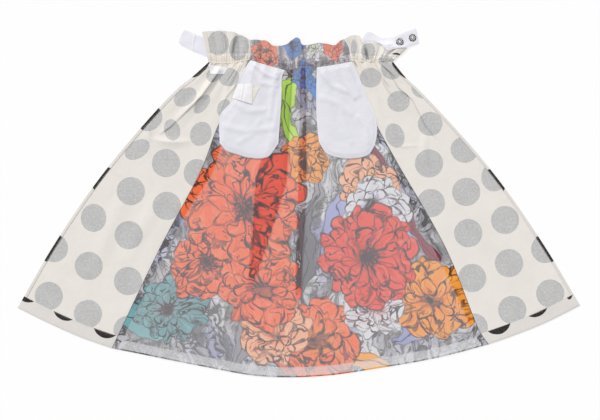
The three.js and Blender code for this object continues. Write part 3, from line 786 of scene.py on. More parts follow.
def brush_streaks(off, radius, seed):
    """Strokes that run outwards from a flower's heart, from -1 where dark to 1 where light."""
    fan = scaled(shift_place("NORMALIZE", off), 5.0)
    depth = one_wire("ShaderNodeCombineXYZ", {"Z": calc("MULTIPLY_ADD", radius, 1.9, seed * 3.7)})
    field = noise(shift_place("ADD", fan, depth), 1.0, 3.0, 0.6, 0.5)
    return step_up(field, 0.5, 0.66) - step_up(field, 0.42, 0.34)


def garden_flower(given):
    off = shift_place("SUBTRACT", given["Place"], given["Centre"])
    x, y = x_and_y(off)
    radius = shift_place("LENGTH", off) / given["Radius"]
    swing = (calc("ARCTAN2", y, x) + given["Turn"]) * (given["Petals"] * 0.5)
    inside = ink = tone = radius * 0.0
    for base, reach, shift in PETAL_RINGS:
        lobe = calc("POWER", calc("ABSOLUTE", calc("COSINE", swing + math.pi * shift)), 0.55)
        rim = calc("MULTIPLY_ADD", lobe, reach, base)
        ring = step_down(radius - rim, -0.012, 0.012)
        line = step_down(calc("ABSOLUTE", radius - rim), 0.012, 0.044)
        split = step_down(lobe * radius, 0.08, 0.24)
        shown = 1.0 - inside
        ink = larger(ink, larger(line, split * ring) * shown)
        tone = larger(tone, radius / rim * ring * shown)
        inside = larger(inside, ring)
    streak = brush_streaks(off, radius, given["Petals"])
    return {"Inside": inside, "Tone": tone, "Ink": ink, "Streak": streak}


def garden_leaf(given):
    off = shift_place("SUBTRACT", given["Place"], given["Centre"])
    turned = one_wire("ShaderNodeVectorRotate", {"Vector": off, "Axis": (0, 0, 1), "Angle": given["Turn"]},
                      rotation_type="AXIS_ANGLE")
    x, y = x_and_y(turned)
    run, beside = x / given["Long"], calc("ABSOLUTE", y)
    side = calc("SUBTRACT", 1.0, run * run, clamp=True) * given["Wide"] - beside
    inside = step_up(side, 0.0, 0.0016)
    rim = inside * step_down(side, 0.0015, 0.0042)
    rib = inside * step_down(beside, 0.0006, 0.0022)
    return {"Inside": inside, "Tone": run * 0.5 + 0.5, "Ink": larger(rim, rib)}


FLOWER = new_group("garden_flower", {
    "Place": None, "Centre": None, "Radius": 0.1, "Petals": 9.0, "Turn": 0.0}, garden_flower)
LEAF = new_group("garden_leaf", {
    "Place": None, "Centre": None, "Long": 0.1, "Wide": 0.03, "Turn": 0.0}, garden_leaf)
print("nodes in a flower:", len(FLOWER.nodes), "and in a leaf:", len(LEAF.nodes))

# %% [markdown]
# The washes and the ink of the ground are noise that was stretched and thresholded. The flowers and
# leaves are then laid over it from the back to the front, each from a row of a short table.

# %% The printed sheer cloth
CORAL, ORANGE, RED = (242, 84, 58), (250, 122, 62), (222, 58, 30)
TEAL, AMBER, LIME, BLUE = (118, 172, 176), (250, 168, 44), (184, 220, 40), (44, 130, 206)
WINE, LAVENDER, PALE, GREY = (138, 22, 50), (164, 166, 206), (232, 231, 234), (158, 155, 160)
ROSE, PEACH, SLATE, INK = (226, 122, 122), (250, 190, 150), (108, 106, 112), (40, 36, 42)
BRUSH_GREY, PEN, DEEP_RED = (88, 84, 90), (64, 34, 42), (110, 24, 12)
SEAM_SHADE, VEIL = (70, 58, 62), (240, 236, 240)
LEAVES = [
    # x, y, half length, half width in mm, turn in degrees, colour
    (-205, -205, 120, 34, 28, TEAL), (-400, -290, 90, 42, -40, TEAL), (-120, -330, 110, 32, 60, GREY),
    (235, -25, 105, 40, -42, LAVENDER), (300, -320, 84, 26, 30, LAVENDER), (96, -40, 90, 24, 80, LAVENDER),
    (-34, 262, 74, 26, 76, LIME), (34, 300, 60, 24, -60, BLUE), (-16, 176, 80, 22, -62, LIME),
    (206, 96, 120, 15, -60, WINE), (300, -70, 130, 16, -60, WINE), (-170, 130, 70, 16, 62, GREY),
    (30, -360, 96, 26, 8, AMBER), (160, -395, 80, 22, -14, AMBER), (-250, 20, 80, 24, 66, ORANGE),
    (40, 20, 60, 16, 80, GREY), (20, -120, 140, 22, 84, SLATE), (-150, 60, 60, 26, 40, ROSE),
]
FLOWERS = [
    # x, y, radius in mm, petals, turn, colour at the heart, colour at the tips
    (14, 112, 66, 8, 0.4, AMBER, AMBER), (-318, -262, 96, 11, 1.1, GREY, TEAL),
    (172, 40, 78, 9, 0.7, AMBER, PEACH), (196, -22, 88, 9, 2.2, LAVENDER, PALE),
    (330, -236, 112, 9, 0.5, ORANGE, AMBER), (-228, -150, 104, 9, 0.2, CORAL, ORANGE),
    (40, -345, 118, 8, 0.9, AMBER, ORANGE), (-60, -322, 92, 8, 2.0, ORANGE, PEACH),
    (196, -262, 82, 10, 1.9, ROSE, PALE), (-100, -212, 112, 9, 0.1, CORAL, ORANGE),
    (-138, -6, 158, 11, 0.3, CORAL, ORANGE), (176, -136, 132, 12, 1.4, RED, CORAL),
    (12, 318, 40, 7, 0.2, BLUE, BLUE), (-86, 384, 34, 7, 0.6, AMBER, ORANGE),
    (-8, 392, 28, 6, 1.2, BLUE, BLUE), (84, 378, 30, 7, 0.1, CORAL, ORANGE),
    (36, 372, 22, 6, 0.1, LIME, PALE),
]


def ink_lines(place, scale, twist, width, seed):
    """Thin wandering lines, where a field of noise passes through its middle."""
    field = noise(mapped(place, Location=(seed, -seed, seed)), scale, 2.0, 0.45, twist)
    return step_down(calc("ABSOLUTE", field - 0.5), width * 0.4, width)


def after(place, colour):
    """The same place, worked out after the colour, so that the renderer keeps few values at a time."""
    return shift_place("ADD", place, scaled(colour, 1e-7))


def swayed(place, scale, reach):
    """A place moved about by noise, so that what is drawn there looks drawn by hand."""
    sway = shift_place("SUBTRACT", noise(place, scale, 2.0, 0.5, output="Color"), (0.5, 0.5, 0.5))
    return shift_place("ADD", place, scaled(sway, reach))


def ground_of_print(place, drawn):
    """Pale cloth with soft grey and lavender washes, and loose strokes of ink of uneven weight."""
    colour = blend(step_up(noise(place, 8.0, 4.0, 0.6, 0.9), 0.36, 0.7), PALE, GREY)
    tint = noise(mapped(place, Location=(3, 7, 1)), 6.0, 3.0, 0.55, 0.8)
    colour = blend(step_up(tint, 0.5, 0.7), colour, LAVENDER)
    brush = noise(mapped(drawn, Scale=(58, 17, 1)), 1.0, 4.0, 0.65, 0.8)
    colour = blend(step_up(brush, 0.46, 0.62) * 0.85, colour, BRUSH_GREY)
    scribble = larger(ink_lines(drawn, 9.0, 2.2, 0.03, 4.0), ink_lines(drawn, 21.0, 1.4, 0.026, 9.0))
    return blend(scribble * (step_up(tint, 0.34, 0.56) * 0.6 + 0.35), colour, INK)


def painted_flower(flower, colour, heart, tips, strokes, weight):
    """Lays one flower over the colours so far, with lighter and darker strokes along its petals."""
    shade = blend(step_up(flower["Tone"], 0.1, 0.85), heart, tips)
    for strength, petal, brighter in ((0.42, tips, 96), (-0.8, heart, 4)):
        shade = blend(flower["Streak"] * strength, shade, [c * 0.62 + brighter for c in petal])
    shade = blend(larger(flower["Ink"], strokes) * weight, shade, PEN)
    return blend(flower["Inside"], colour, shade)


def painted(place):
    """The colour of the print, and how much ink lies on the cloth."""
    drawn = swayed(swayed(place, 9.0, 0.085), 34.0, 0.016)
    colour, ink = ground_of_print(place, drawn), 0.2
    for x, y, long, wide, turn, tint in LEAVES:
        leaf = use_group(LEAF, {"Place": drawn, "Centre": (x * MM, y * MM, 0), "Long": long * MM,
                                "Wide": wide * MM, "Turn": -math.radians(turn)})
        shade = blend(leaf["Ink"] * 0.8, blend(leaf["Tone"], tint, changed(tint, 26)), INK)
        colour, ink = blend(leaf["Inside"], colour, shade), larger(ink, leaf["Inside"])
        drawn = after(drawn, colour)
    strokes = ink_lines(drawn, 13.0, 1.8, 0.026, 2.0) * 0.9
    weight = step_up(noise(drawn, 30.0, 2.0, 0.5), 0.34, 0.56) * 0.6 + 0.4
    for x, y, radius, petals, turn, heart, tips in FLOWERS:
        flower = use_group(FLOWER, {"Place": drawn, "Centre": (x * MM, y * MM, 0), "Radius": radius * MM,
                                    "Petals": petals, "Turn": turn})
        colour = painted_flower(flower, colour, heart, tips, strokes, weight)
        ink = larger(ink, flower["Inside"])
        drawn = after(drawn, colour)
    return colour, ink


def sheer_finish(name, paler):
    """Printed sheer cloth. It is deeper in colour and less clear where a fold doubles it."""
    finish, sockets, place, tone = woven_finish(name, 0.0003, 0.3, 0.0014, {
        "Roughness": 0.5, "Specular IOR Level": 0.3, "Sheen Weight": 0.2})
    colour, ink = painted(place)
    colour = blend(paler, colour, VEIL)
    doubled = mark_of(place, "doubled")
    colour = blend(doubled * 0.6 + 0.26, colour, blend(1.0, colour, colour, "MULTIPLY"))
    colour = blend(doubled * 0.2, colour, DEEP_RED)
    seam = step_down(mark_of(place, "seam"), 0.6, 2.6)
    plug(sockets["Base Color"], blend(seam * 0.7, colour, SEAM_SHADE))
    plug(sockets["Alpha"], calc("ADD", doubled * 0.2, ink * 0.27 + (tone * 0.06 + 0.62), clamp=True))
    return finish


def lining_finish(name, veil):
    """Thin white cloth, which only the camera sees in full, so that it dims little of the light."""
    finish, sockets, place, tone = woven_finish(name, 0.0003, 0.3, 0.0014, {
        "Roughness": 0.55, "Sheen Weight": 0.15})
    plug(sockets["Base Color"], washed(tone, (250, 249, 251), (238, 237, 241)))
    seen = one_wire("ShaderNodeLightPath", {}, "Is Camera Ray", tree=place.tree)
    veiled = (tone * 0.05 + veil) * (seen * 0.75 + 0.25)
    clear = 1.0 - mark_of(place, "doubled") * 0.6
    plug(sockets["Alpha"], calc("MULTIPLY", veiled, clear, clamp=True))
    return finish


SHEER = sheer_finish("printed_sheer", 0.0)
SHEER_HEADING = sheer_finish("printed_sheer_heading", 0.3)
LINING = lining_finish("sheer_lining", 0.09)
LINING_HEM_FINISH = lining_finish("sheer_lining_hem", 0.24)
print("flowers:", len(FLOWERS), "leaves:", len(LEAVES))

# %% [markdown]
# The front lies between the two seams. Its lining hangs free over it and is narrower, so a strip of
# the bare print shows beside each seam. The lining's lower edge is turned up twice.

# %% Sheer front, lining and the lining's hem
SHEER_WALL = 1.0
THIN_SHEER = 0.35
FRONT_COLUMNS = 190
FRONT_ROWS = 196
LINING_INSET = {"down": (0, 210, 300, 380, 530, 680, 780), "left": (16, 24, 30, 19, 17, 16, 15),
                "right": (16, 14, 18, 25, 29, 18, 16)}
LINING_HEM = 26.0
LINING_SHORTER = 4.0
LINING_END = (DROP - LINING_SHORTER) / DROP
LINING_HEM_START = (DROP - LINING_HEM) / DROP


def doubled_mark(x, y):
    """Where a pressed fold lays the cloth on itself, so that the print is deeper."""
    marks = []
    for start, bend, end, _, widths, kind in FOLDS:
        if kind == "pressed":
            share, aside = beside_line([start, bend, end], x, y)
            width = np.interp(share, [0, 0.5, 1], widths)
            marks.append(ease((width - np.abs(aside)) / 2) * ease((0.99 - share) * 12))
    return np.max(marks, axis=0)


def inset_shares(downs):
    width = width_of_rows("front", downs)[:, 0]
    left, right = (np.interp(downs * DROP, LINING_INSET["down"], LINING_INSET[side]) / width
                   for side in ("left", "right"))
    return mix(left[:, None], 1 - right[:, None], np.linspace(0, 1, FRONT_COLUMNS)[None])


def front_cloth(name, node, downs, u, layer, finish):
    """One layer of the front, counted from the table."""
    points, from_edge = layer_of_panel("front", downs, u, layer * SHEER_WALL + (layer - 1) * GAP)
    marks = {"doubled": doubled_mark(points[..., 0], points[..., 1]), "seam": from_edge}
    cloth(name, node, points, THIN_SHEER, [finish], marks)


front_cloth("sheer_front", "panel_sheer", np.linspace(0, 1, FRONT_ROWS),
            np.linspace(0, 1, FRONT_COLUMNS)[None], 1, SHEER)
lining_downs = np.linspace(0, LINING_END, FRONT_ROWS)
front_cloth("free_lining", "lining_sheer", lining_downs, inset_shares(lining_downs), 2,
            LINING)
hem_downs = np.linspace(LINING_HEM_START, LINING_END, 10)
front_cloth("lining_double_hem", "lining_hem", hem_downs, inset_shares(hem_downs), 3,
            LINING_HEM_FINISH)

# %% [markdown]
# Above the waist the same cloths go on as a frilled heading, gathered by a casing just above the
# waist line. Its waves stand up at the free top edge and are pinched small in the casing, where two
# rows of stitches pull the cloth into ridges.

# %% Frilled heading and casing
HEADING_ROWS = 34
COLUMNS_PER_FRILL = 30
CASING_TOP = 0.70
CASING_FOOT = 0.95
FRILLS = {"left": (5.0, 7.5, 9.5, 7.0), "front": (8.0, 9.5, 6.5, 8.5, 11.0, 9.0, 7.0, 8.0, 9.5),
          "right": (8.5, 10.0, 6.0, 4.5, 3.5)}
PUCKER = 2.4
RIDGE = 2.6
CRIMP = 0.7
PINCH_WIDTH = 0.035
RIDGES = {"left": (24, 31), "front": (56, 32), "right": (26, 33)}
HEADING_VALLEY_SHADE = {  # lines of painted shade in the deepest frill valleys, where the dots are painted black
    "left": [(-157, 419), (-162, 395), (-168, 362)],
    "right": [(164, 390), (168, 374), (172, 358)],
}
STREAK = 0.62
STREAK_WIDTH = 4.2
AWAY_FROM_SEAMS = 50.0


def valley_shade_mark(side, x, y):
    """Strongest on a line of points, and gone a few millimetres beside it and at its ends."""
    if side not in HEADING_VALLEY_SHADE:
        return 0.0
    share, aside = beside_line(HEADING_VALLEY_SHADE[side], x, y)
    fade = np.sin(np.pi * np.clip(share, 0.02, 0.98)) ** 0.5
    return STREAK * np.exp(-((aside / STREAK_WIDTH) ** 2)) * fade


def heading_points(side):
    """The heading's points, and a mark that is 1 in the casing."""
    frills = np.array(FRILLS[side])
    v, u = np.linspace(0, 1, HEADING_ROWS), np.linspace(0, 1, len(frills) * COLUMNS_PER_FRILL + 1)
    places = patch(HEADING_EDGES[side], v, u)
    down, phase = v[:, None], 2 * np.pi * u[None] * len(frills)
    tall = frills[np.minimum((u * len(frills)).astype(int), len(frills) - 1)][None]
    frill = tall * (1 - 0.85 * down) * (1 - np.cos(phase)) / 2
    pucker = PUCKER * (0.35 + 0.65 * down) * (1 - np.cos(2 * phase)) / 2
    count, seed = RIDGES[side]
    ridge = puckers(u[None], (1 - down) * 60, count, RIDGE, seed)
    in_casing = ease((down - CASING_TOP) * 12)
    crimp = CRIMP * (1 + soft_noise(u[None] * 400, down * 12, 3.2, seed + 1)) * in_casing
    pinch = sum(np.exp(-(((down - row) / PINCH_WIDTH) ** 2)) for row in (CASING_TOP, CASING_FOOT))
    slow = 0.5 * (1 + soft_noise(places[..., 0], places[..., 1] * 0.4, 13, seed + 2))
    height = frill + pucker * (1 - 0.25 * in_casing) + ridge * (0.35 + 0.65 * down) + crimp + slow
    return np.dstack([places, height * (1 - 0.3 * np.clip(pinch, 0, 1)) + COTTON]), in_casing


def add_heading(side, node, finishes):
    points, in_casing = heading_points(side)
    x, y = points[..., 0], points[..., 1]
    # Painted shade: the turned mark blackens the dots along the deepest frill valleys.
    marks = {"dots": inside_dots(HEADING_DOTS[side], x, y), "turned": valley_shade_mark(side, x, y),
             "warm": 0.42 * in_casing, "doubled": 0.35 * in_casing, "seam": AWAY_FROM_SEAMS}
    cloth("frilled_heading_" + side, node, points, THIN_COTTON - 0.1, finishes, marks)
    return points


def turned_end(side, points):
    """The end of a heading, folded over onto it."""
    points = points + (0, 0, GAP + THIN_COTTON)
    marks = {"dots": inside_dots(END_DOTS[side], points[..., 0], points[..., 1]), "turned": 0.0, "warm": 0.1}
    cloth("turned_heading_end_" + side, "heading_end_" + side, points, THIN_COTTON - 0.2,
          [COTTON_RIGHT, COTTON_WRONG], marks)


left_heading = add_heading("left", "heading_left", [COTTON_WRONG, COTTON_RIGHT])
add_heading("front", "heading_centre", [SHEER_HEADING])
right_heading = add_heading("right", "heading_right", [COTTON_WRONG, COTTON_RIGHT])
turned_end("left", left_heading[:, :12])
turned_end("right", right_heading[:18, -46:])

# %% [markdown]
# Plain white cloth, ribbon and label tape differ in thread, sheen and tint, so one function makes
# all their finishes. Their sewn rims are a little lighter, because the cloth lies double there.

# %% Plain white cloths
def white_finish(name, tint, thread, roughness, sheen, crumples):
    finish, sockets, place, tone = woven_finish(name, thread, 0.5, crumples, {
        "Sheen Weight": sheen, "Specular IOR Level": 0.35})
    edge = step_down(mark_of(place, "rim"), 0.8, 2.6) * 0.5
    plug(sockets["Base Color"], blend(edge, washed(tone, tint, changed(tint, -9)), (246, 246, 250)))
    plug(sockets["Roughness"], tone * 0.1 + roughness)
    return finish


POCKET_CLOTH = white_finish("pocket_cloth", (234, 233, 240), 0.0004, 0.75, 0.1, 0.0018)
RIBBON = white_finish("white_satin_ribbon", (240, 238, 246), 0.0003, 0.42, 0.25, 0.0008)
LABEL = white_finish("blank_label_tape", (246, 244, 247), 0.0004, 0.6, 0.1, 0.0005)
CREAM_LEAF = white_finish("cream_label_leaf", (238, 232, 220), 0.0004, 0.65, 0.1, 0.0005)

# %% [markdown]
# A pocket bag is two layers of plain cloth, sewn round the curved edge. It lies on the front, so its
# height comes from what is under it, pulled taut over the hollows, and a little air is left inside.

# %% Pocket bags
POCKETS = {
    "left": {
        "top": [(-121, 356), (-92, 347), (-35, 330.5)],
        "right": [(-35, 330.5), (-41, 317), (-43, 267), (-46, 217), (-51, 147)],
        "bottom": [(-198, 149), (-180, 129), (-156, 121), (-125, 112), (-78, 114), (-51, 147)],
        "left": [(-121, 356), (-132, 340), (-147, 314), (-167, 255), (-195, 222), (-199, 199), (-198, 149)],
    },
    "right": {
        "top": [(45, 337.5), (90, 344.5), (132, 353)],
        "right": [(132, 353), (155, 302), (172, 257), (193, 207), (195, 170), (190, 143)],
        "bottom": [(50, 152), (68, 124), (95, 113), (132, 110), (173, 119), (190, 143)],
        "left": [(45, 337.5), (43, 272), (45, 199), (50, 152)],
    },
}
POCKET_CREASES = {  # places along the crease, rise, half width
    "left": [
        ([(-108, 344), (-84, 322), (-56, 312)], 1.6, 9), ([(-118, 330), (-96, 300), (-58, 292)], 1.2, 11),
        ([(-60, 318), (-66, 270), (-72, 214)], 1.1, 12), ([(-160, 250), (-130, 228), (-84, 232)], 1.0, 12),
        ([(-186, 190), (-130, 176), (-66, 186)], 1.0, 14), ([(-150, 150), (-120, 168), (-98, 204)], 0.9, 12)],
    "right": [
        ([(60, 322), (84, 292), (120, 278)], 1.4, 12), ([(96, 334), (116, 296), (140, 262)], 1.5, 9),
        ([(122, 340), (138, 300), (152, 268)], 1.2, 7), ([(58, 262), (92, 250), (128, 222)], 1.0, 14),
        ([(104, 240), (112, 196), (130, 150)], 1.1, 11), ([(150, 214), (168, 186), (174, 150)], 1.0, 10)],
}
POCKET_CREASE_RISE = 1.7
THIN_POCKET = 0.6
UNDER_LIFT, UPPER_LIFT = 0.2, 0.9
POCKET_LOFT = 1.2
POCKET_ROWS, POCKET_COLUMNS = 84, 54
POCKET_PASSES = 24
UPPER_SIZE = 0.985
SEAM_DEPTH, SEAM_PLACE, SEAM_WIDTH = 0.5, 4.5, 1.2


def rim_distance(points):
    """How far each point of a grid lies from the nearest edge of its piece, in millimetres."""
    rim = np.vstack([points[0], points[-1], points[:, 0], points[:, -1]])[:, :2]
    return np.linalg.norm(points[..., None, :2] - rim[None, None], axis=-1).min(axis=-1)


def across_crease(line, x, y, half_width):
    return ease(1 - np.abs(beside_line(line, x, y)[1]) / half_width)


def add_pocket(side):
    flat = patch(POCKETS[side], np.linspace(0, 1, POCKET_ROWS), np.linspace(0, 1, POCKET_COLUMNS)[None])
    x, y = flat[..., 0], flat[..., 1]
    rim = rim_distance(flat)
    wrinkle = 0.35 * (1 + soft_noise(x, y, 17, 61)) + 0.2 * (1 + soft_noise(x + y, y - x, 11, 62))
    creased = np.max([POCKET_CREASE_RISE * rise * across_crease(line, x, y, width)
                      for line, rise, width in POCKET_CREASES[side]], axis=0)
    lies = bridged(top_at(flat) + GAP, POCKET_PASSES)
    puffed = POCKET_LOFT * ease(rim / 12) + (wrinkle + creased) * ease(rim / 9)
    seam = SEAM_DEPTH * np.exp(-(((rim - SEAM_PLACE) / SEAM_WIDTH) ** 2))
    inset = mix(flat.reshape(-1, 2).mean(axis=0), flat, UPPER_SIZE)
    under = np.dstack([flat, lies + THIN_POCKET + UNDER_LIFT])
    upper = np.dstack([inset, lies + 2 * THIN_POCKET + UPPER_LIFT + puffed - seam])
    layers = (("under", under, "free_lining"), ("upper", upper, "pocket_bag_under_" + side))
    for layer, points, rests_on in layers:
        cloth(f"pocket_bag_{layer}_{side}", f"pocket_{side}_{layer}", points, THIN_POCKET,
              [POCKET_CLOTH], {"rim": rim})


add_pocket("left")
add_pocket("right")

# %% [markdown]
# Tabs and labels are small flat strips, laid on the heading or on a bag. They are stiffer than the
# cloth under them, so they bridge its puckers.

# %% Ribbon tabs and blank labels
STRIP_ROWS, STRIP_COLUMNS = 22, 54
INSIDE_RIM = 6
CROSS_FOLD, CROSS_FOLD_WIDTH = 1.1, 3.5
STRIPS = {  # slot, node, finish, lift, passes of pulling taut, flat size in metres, and edges in mm
    "ribbon_tab_left": ("white_ribbon", "tab_left", RIBBON, 1.0, 6, (0.06, 0.042), {
        "top": [(-285, 432), (-267, 425), (-240, 415)], "bottom": [(-296, 394), (-267, 380), (-229, 364)],
        "left": [(-285, 432), (-290, 427), (-300, 401), (-296, 394)]}),
    "ribbon_tab_right": ("white_ribbon", "tab_right", RIBBON, 1.0, 60, (0.15, 0.03), {
        "top": [(158, 410), (172, 426), (185, 424), (203, 412), (230, 413), (258, 424), (293, 436)],
        "bottom": [(162, 400), (190, 402), (204, 396), (221, 379), (237, 384), (273, 389), (301, 398)]}),
    "woven_strip_blank": ("blank_label", "label_strip", LABEL, 0.6, 40, (0.046, 0.022), {
        "top": [(-226, 345), (-177, 337)], "bottom": [(-221, 321), (-187, 321)]}),
    "care_label_leaf": ("cream_leaf", "label_leaf", CREAM_LEAF, 0.6, 30, (0.048, 0.036), {
        "top": [(-150, 288), (-97, 288)], "bottom": [(-158, 262), (-117, 248)]}),
    "care_label_blank": ("blank_label", "label_care", LABEL, 0.6, 30, (0.045, 0.044), {
        "top": [(-153, 297), (-115, 297)], "bottom": [(-167, 261), (-117, 246)]}),
}
CROSS_FOLDS = {
    "ribbon_tab_left": [(-259, 424), (-264, 402), (-266, 378)],
    "ribbon_tab_right": [(196, 418), (206, 408), (214, 388)],
    "care_label_blank": [(-138, 297), (-142, 276), (-146, 252)],
}
for name, (slot, node, finish, lift, passes, flat_size, edges) in STRIPS.items():
    ends = {"left": [edges["top"][0], edges["bottom"][0]], "right": [edges["top"][-1], edges["bottom"][-1]]}
    flat = patch({**ends, **edges}, np.linspace(0, 1, STRIP_ROWS), np.linspace(0, 1, STRIP_COLUMNS)[None])
    x, y = flat[..., 0], flat[..., 1]
    rim = rim_distance(flat)
    under = top_at(flat)
    base = bridged(np.where(under > 0, under + GAP, 0.0), passes)
    curl = 0.5 * (1 + soft_noise(x, y, 15, 70)) * ease(rim / 5)
    if name in CROSS_FOLDS:
        curl = curl + CROSS_FOLD * across_crease(CROSS_FOLDS[name], x, y, CROSS_FOLD_WIDTH)
    cloth(name, node, np.dstack([flat, base + lift + curl]), lift * 0.7, [finish],
          {"rim": rim + INSIDE_RIM})

# %% [markdown]
# Stitches hold all this together. One is a short rounded bit of thread, made from a cylinder whose
# ends are drawn in and bent down. It is then copied along each seam, a little unevenly, at the height
# of the cloth that lies there.

# %% Stitches
THREAD_RADIUS = 0.22
STITCH = 2.6
STITCH_STEP = 3.6
STITCH_DIP = 0.16
STITCH_LIFT = 0.1


def thread_finish(name, tint):
    finish, sockets = new_finish(name, {"Roughness": 0.7})
    place = one_wire("ShaderNodeTexCoord", {}, "Object", tree=finish.node_tree)
    plug(sockets["Base Color"], blend(noise(place, 1500.0, 2.0), tint, changed(tint, -26)))
    return finish


def select_where(mesh, chosen):
    """In edit mode, selects the vertices that the test picks, and nothing else."""
    shape = bmesh.from_edit_mesh(mesh)
    for part in (*shape.verts, *shape.edges, *shape.faces):
        part.select = False
    for vertex in shape.verts:
        vertex.select = chosen(vertex.co)
    shape.select_flush(True)
    bmesh.update_edit_mesh(mesh)


def one_stitch():
    """The corners and faces of one stitch that lies along X, in millimetres."""
    deselect_all()
    bpy.ops.mesh.primitive_cylinder_add(vertices=6, radius=THREAD_RADIUS * MM, depth=STITCH * 0.7 * MM,
                                        rotation=(0, math.pi / 2, 0))
    thread = bpy.context.active_object
    bpy.ops.object.transform_apply(rotation=True)
    bpy.ops.object.mode_set(mode="EDIT")
    bpy.ops.mesh.select_mode(type="VERT")
    for end in (-1, 1):
        select_where(thread.data, lambda co, end=end: co.x * end > STITCH * 0.3 * MM)
        outwards = (end * STITCH * 0.15 * MM, 0, -STITCH_DIP * MM)
        bpy.ops.mesh.extrude_region_move(TRANSFORM_OT_translate={"value": outwards})
        bpy.ops.transform.resize(value=(1, 0.5, 0.5))
    bpy.ops.object.mode_set(mode="OBJECT")
    corners = np.array([vertex.co[:] for vertex in thread.data.vertices]) / MM
    faces = [tuple(face.vertices) for face in thread.data.polygons]
    bpy.data.objects.remove(thread)
    return corners, faces


def sew(name, line, finish, seed):
    """A row of stitches along a line of points, in one mesh."""
    path = smooth_line(line)[1]
    count = int(float(np.linalg.norm(np.diff(path, axis=0), axis=1).sum()) / STITCH_STEP)
    random = np.random.default_rng(seed)
    shares = (np.arange(count) + 0.5 + random.uniform(-0.08, 0.08, count)) / count
    places, ahead = along(line, shares), along(line, np.clip(shares + 0.002, 0, 1))
    corners, faces = STITCH_SHAPE
    every_corner, every_face = [], []
    for place, towards, height in zip(places, ahead - places, top_at(places)):
        turn = math.atan2(towards[1], towards[0]) + random.uniform(-0.07, 0.07)
        across = np.array([[math.cos(turn), -math.sin(turn)], [math.sin(turn), math.cos(turn)]])
        flat = corners[:, :2] @ across.T + place
        every_face += [tuple(len(every_corner) * len(corners) + i for i in face) for face in faces]
        every_corner.append(np.column_stack([flat, corners[:, 2] + height + STITCH_LIFT]))
    mesh = bpy.data.meshes.new(name)
    mesh.from_pydata((np.vstack(every_corner) * MM).tolist(), [], every_face)
    mesh.materials.append(finish)
    row = in_scene(name, mesh)
    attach(row, "root")
    return count


def beside_edge(line, aside, start, end):
    """A line that runs beside an edge, so many millimetres to its left, or right if negative."""
    places = along(line, np.linspace(start, end, 24))
    slope = np.gradient(places, axis=0)
    slope /= np.linalg.norm(slope, axis=1)[:, None]
    return (places + aside * np.column_stack([-slope[:, 1], slope[:, 0]])).tolist()


def across_heading(side, share):
    return patch(HEADING_EDGES[side], np.array([share]), np.linspace(0.01, 0.99, 24)[None])[0].tolist()


def round_pocket(side, inwards=5):
    edges = POCKETS[side]
    places = np.array(edges["left"][1:-1] + edges["bottom"] + edges["right"][-2:0:-1], float)
    to_middle = places.mean(axis=0) - places
    return (places + inwards * to_middle / np.linalg.norm(to_middle, axis=1)[:, None]).tolist()


STITCH_SHAPE = one_stitch()
CREAM_THREAD = thread_finish("cream_thread", (226, 220, 211))
WHITE_THREAD = thread_finish("white_thread", (238, 238, 242))
SEAMS = [  # name, slot and line of each row of stitches
    ("side_hem_stitches_left", "dotted_cotton", beside_edge(EDGE["left"], SIDE_HEM - 0.8, 0.01, 0.95)),
    ("side_hem_stitches_right", "dotted_cotton", beside_edge(EDGE["right"], 0.8 - SIDE_HEM, 0.01, 0.95)),
    ("hem_stitches_left", "dotted_cotton", beside_edge(EDGE["left_hem"], COTTON_HEM - 0.9, 0.06, 0.97)),
    ("hem_stitches_right", "dotted_cotton", beside_edge(EDGE["right_hem"], COTTON_HEM - 0.9, 0.03, 0.94)),
    ("lining_hem_stitches", "sheer_lining", beside_edge(EDGE["front_hem"], LINING_HEM - 1.0, 0.03, 0.97)),
    *[("pocket_stitches_" + side, "pocket_cloth", round_pocket(side)) for side in POCKETS],
    *[(f"casing_stitches_{row}_{side}", "dotted_cotton", across_heading(side, share))
      for side in HEADING_EDGES for row, share in (("upper", CASING_TOP), ("lower", CASING_FOOT))],
]
for seed, (name, slot, line) in enumerate(SEAMS, 100):
    thread = CREAM_THREAD if slot == "dotted_cotton" else WHITE_THREAD
    print(name, "has", sew(name, line, thread, seed), "stitches")

# %% [markdown]
# A sew-on snap is a stamped plate with a scalloped rim, four sewing holes, a raised ring and a stud.
# One is made from a cylinder: its top is inset and moved up or down ring by ring, its rim is drawn in
# between the scallops, and the holes are cut with a boolean. The second snap is a copy of it.

# %% Sew-on snaps
SNAP_PLACES = {"snap_inner": (252, 401, 0.3), "snap_outer": (284, 412, 1.0)}
SNAP_RADIUS = 9.5
SNAP_PLATE = 0.8
SNAP_SIDES = 48
SIDES_PER_SCALLOP = 6
HOLE_RADIUS = 1.1
SNAP_STEPS = (  # how far each inset goes in, and how far its face then moves up, in millimetres
    (2.9, 0.0), (0.5, 0.9), (1.1, 0.0), (0.5, -0.7), (1.1, 0.0), (0.4, 1.1), (0.9, 0.5))


def snap_finish():
    finish, sockets = new_finish("nickel_snap", {"Metallic": 0.6})
    place = one_wire("ShaderNodeTexCoord", {}, "Object", tree=finish.node_tree)
    rubbed = noise(place, 700.0)
    metal = blend(rubbed, (206, 204, 202), (244, 242, 240))
    # Painted shade and painted highlight: the low plate is painted dark grey, and the parts that rise over a
    # millimetre get the light metal colour, so the ring and stud look lit.
    plug(sockets["Base Color"], blend(step_up(mark_of(place, "rise"), 0.9, 1.5), (66, 64, 64), metal))
    plug(sockets["Roughness"], rubbed * 0.2 + 0.26)
    return finish


def between_scallops(co):
    side = round(math.atan2(co.y, co.x) * SNAP_SIDES / 2 / math.pi)
    return co.xy.length > SNAP_RADIUS * MM * 0.98 and side % SIDES_PER_SCALLOP in (2, 3, 4)


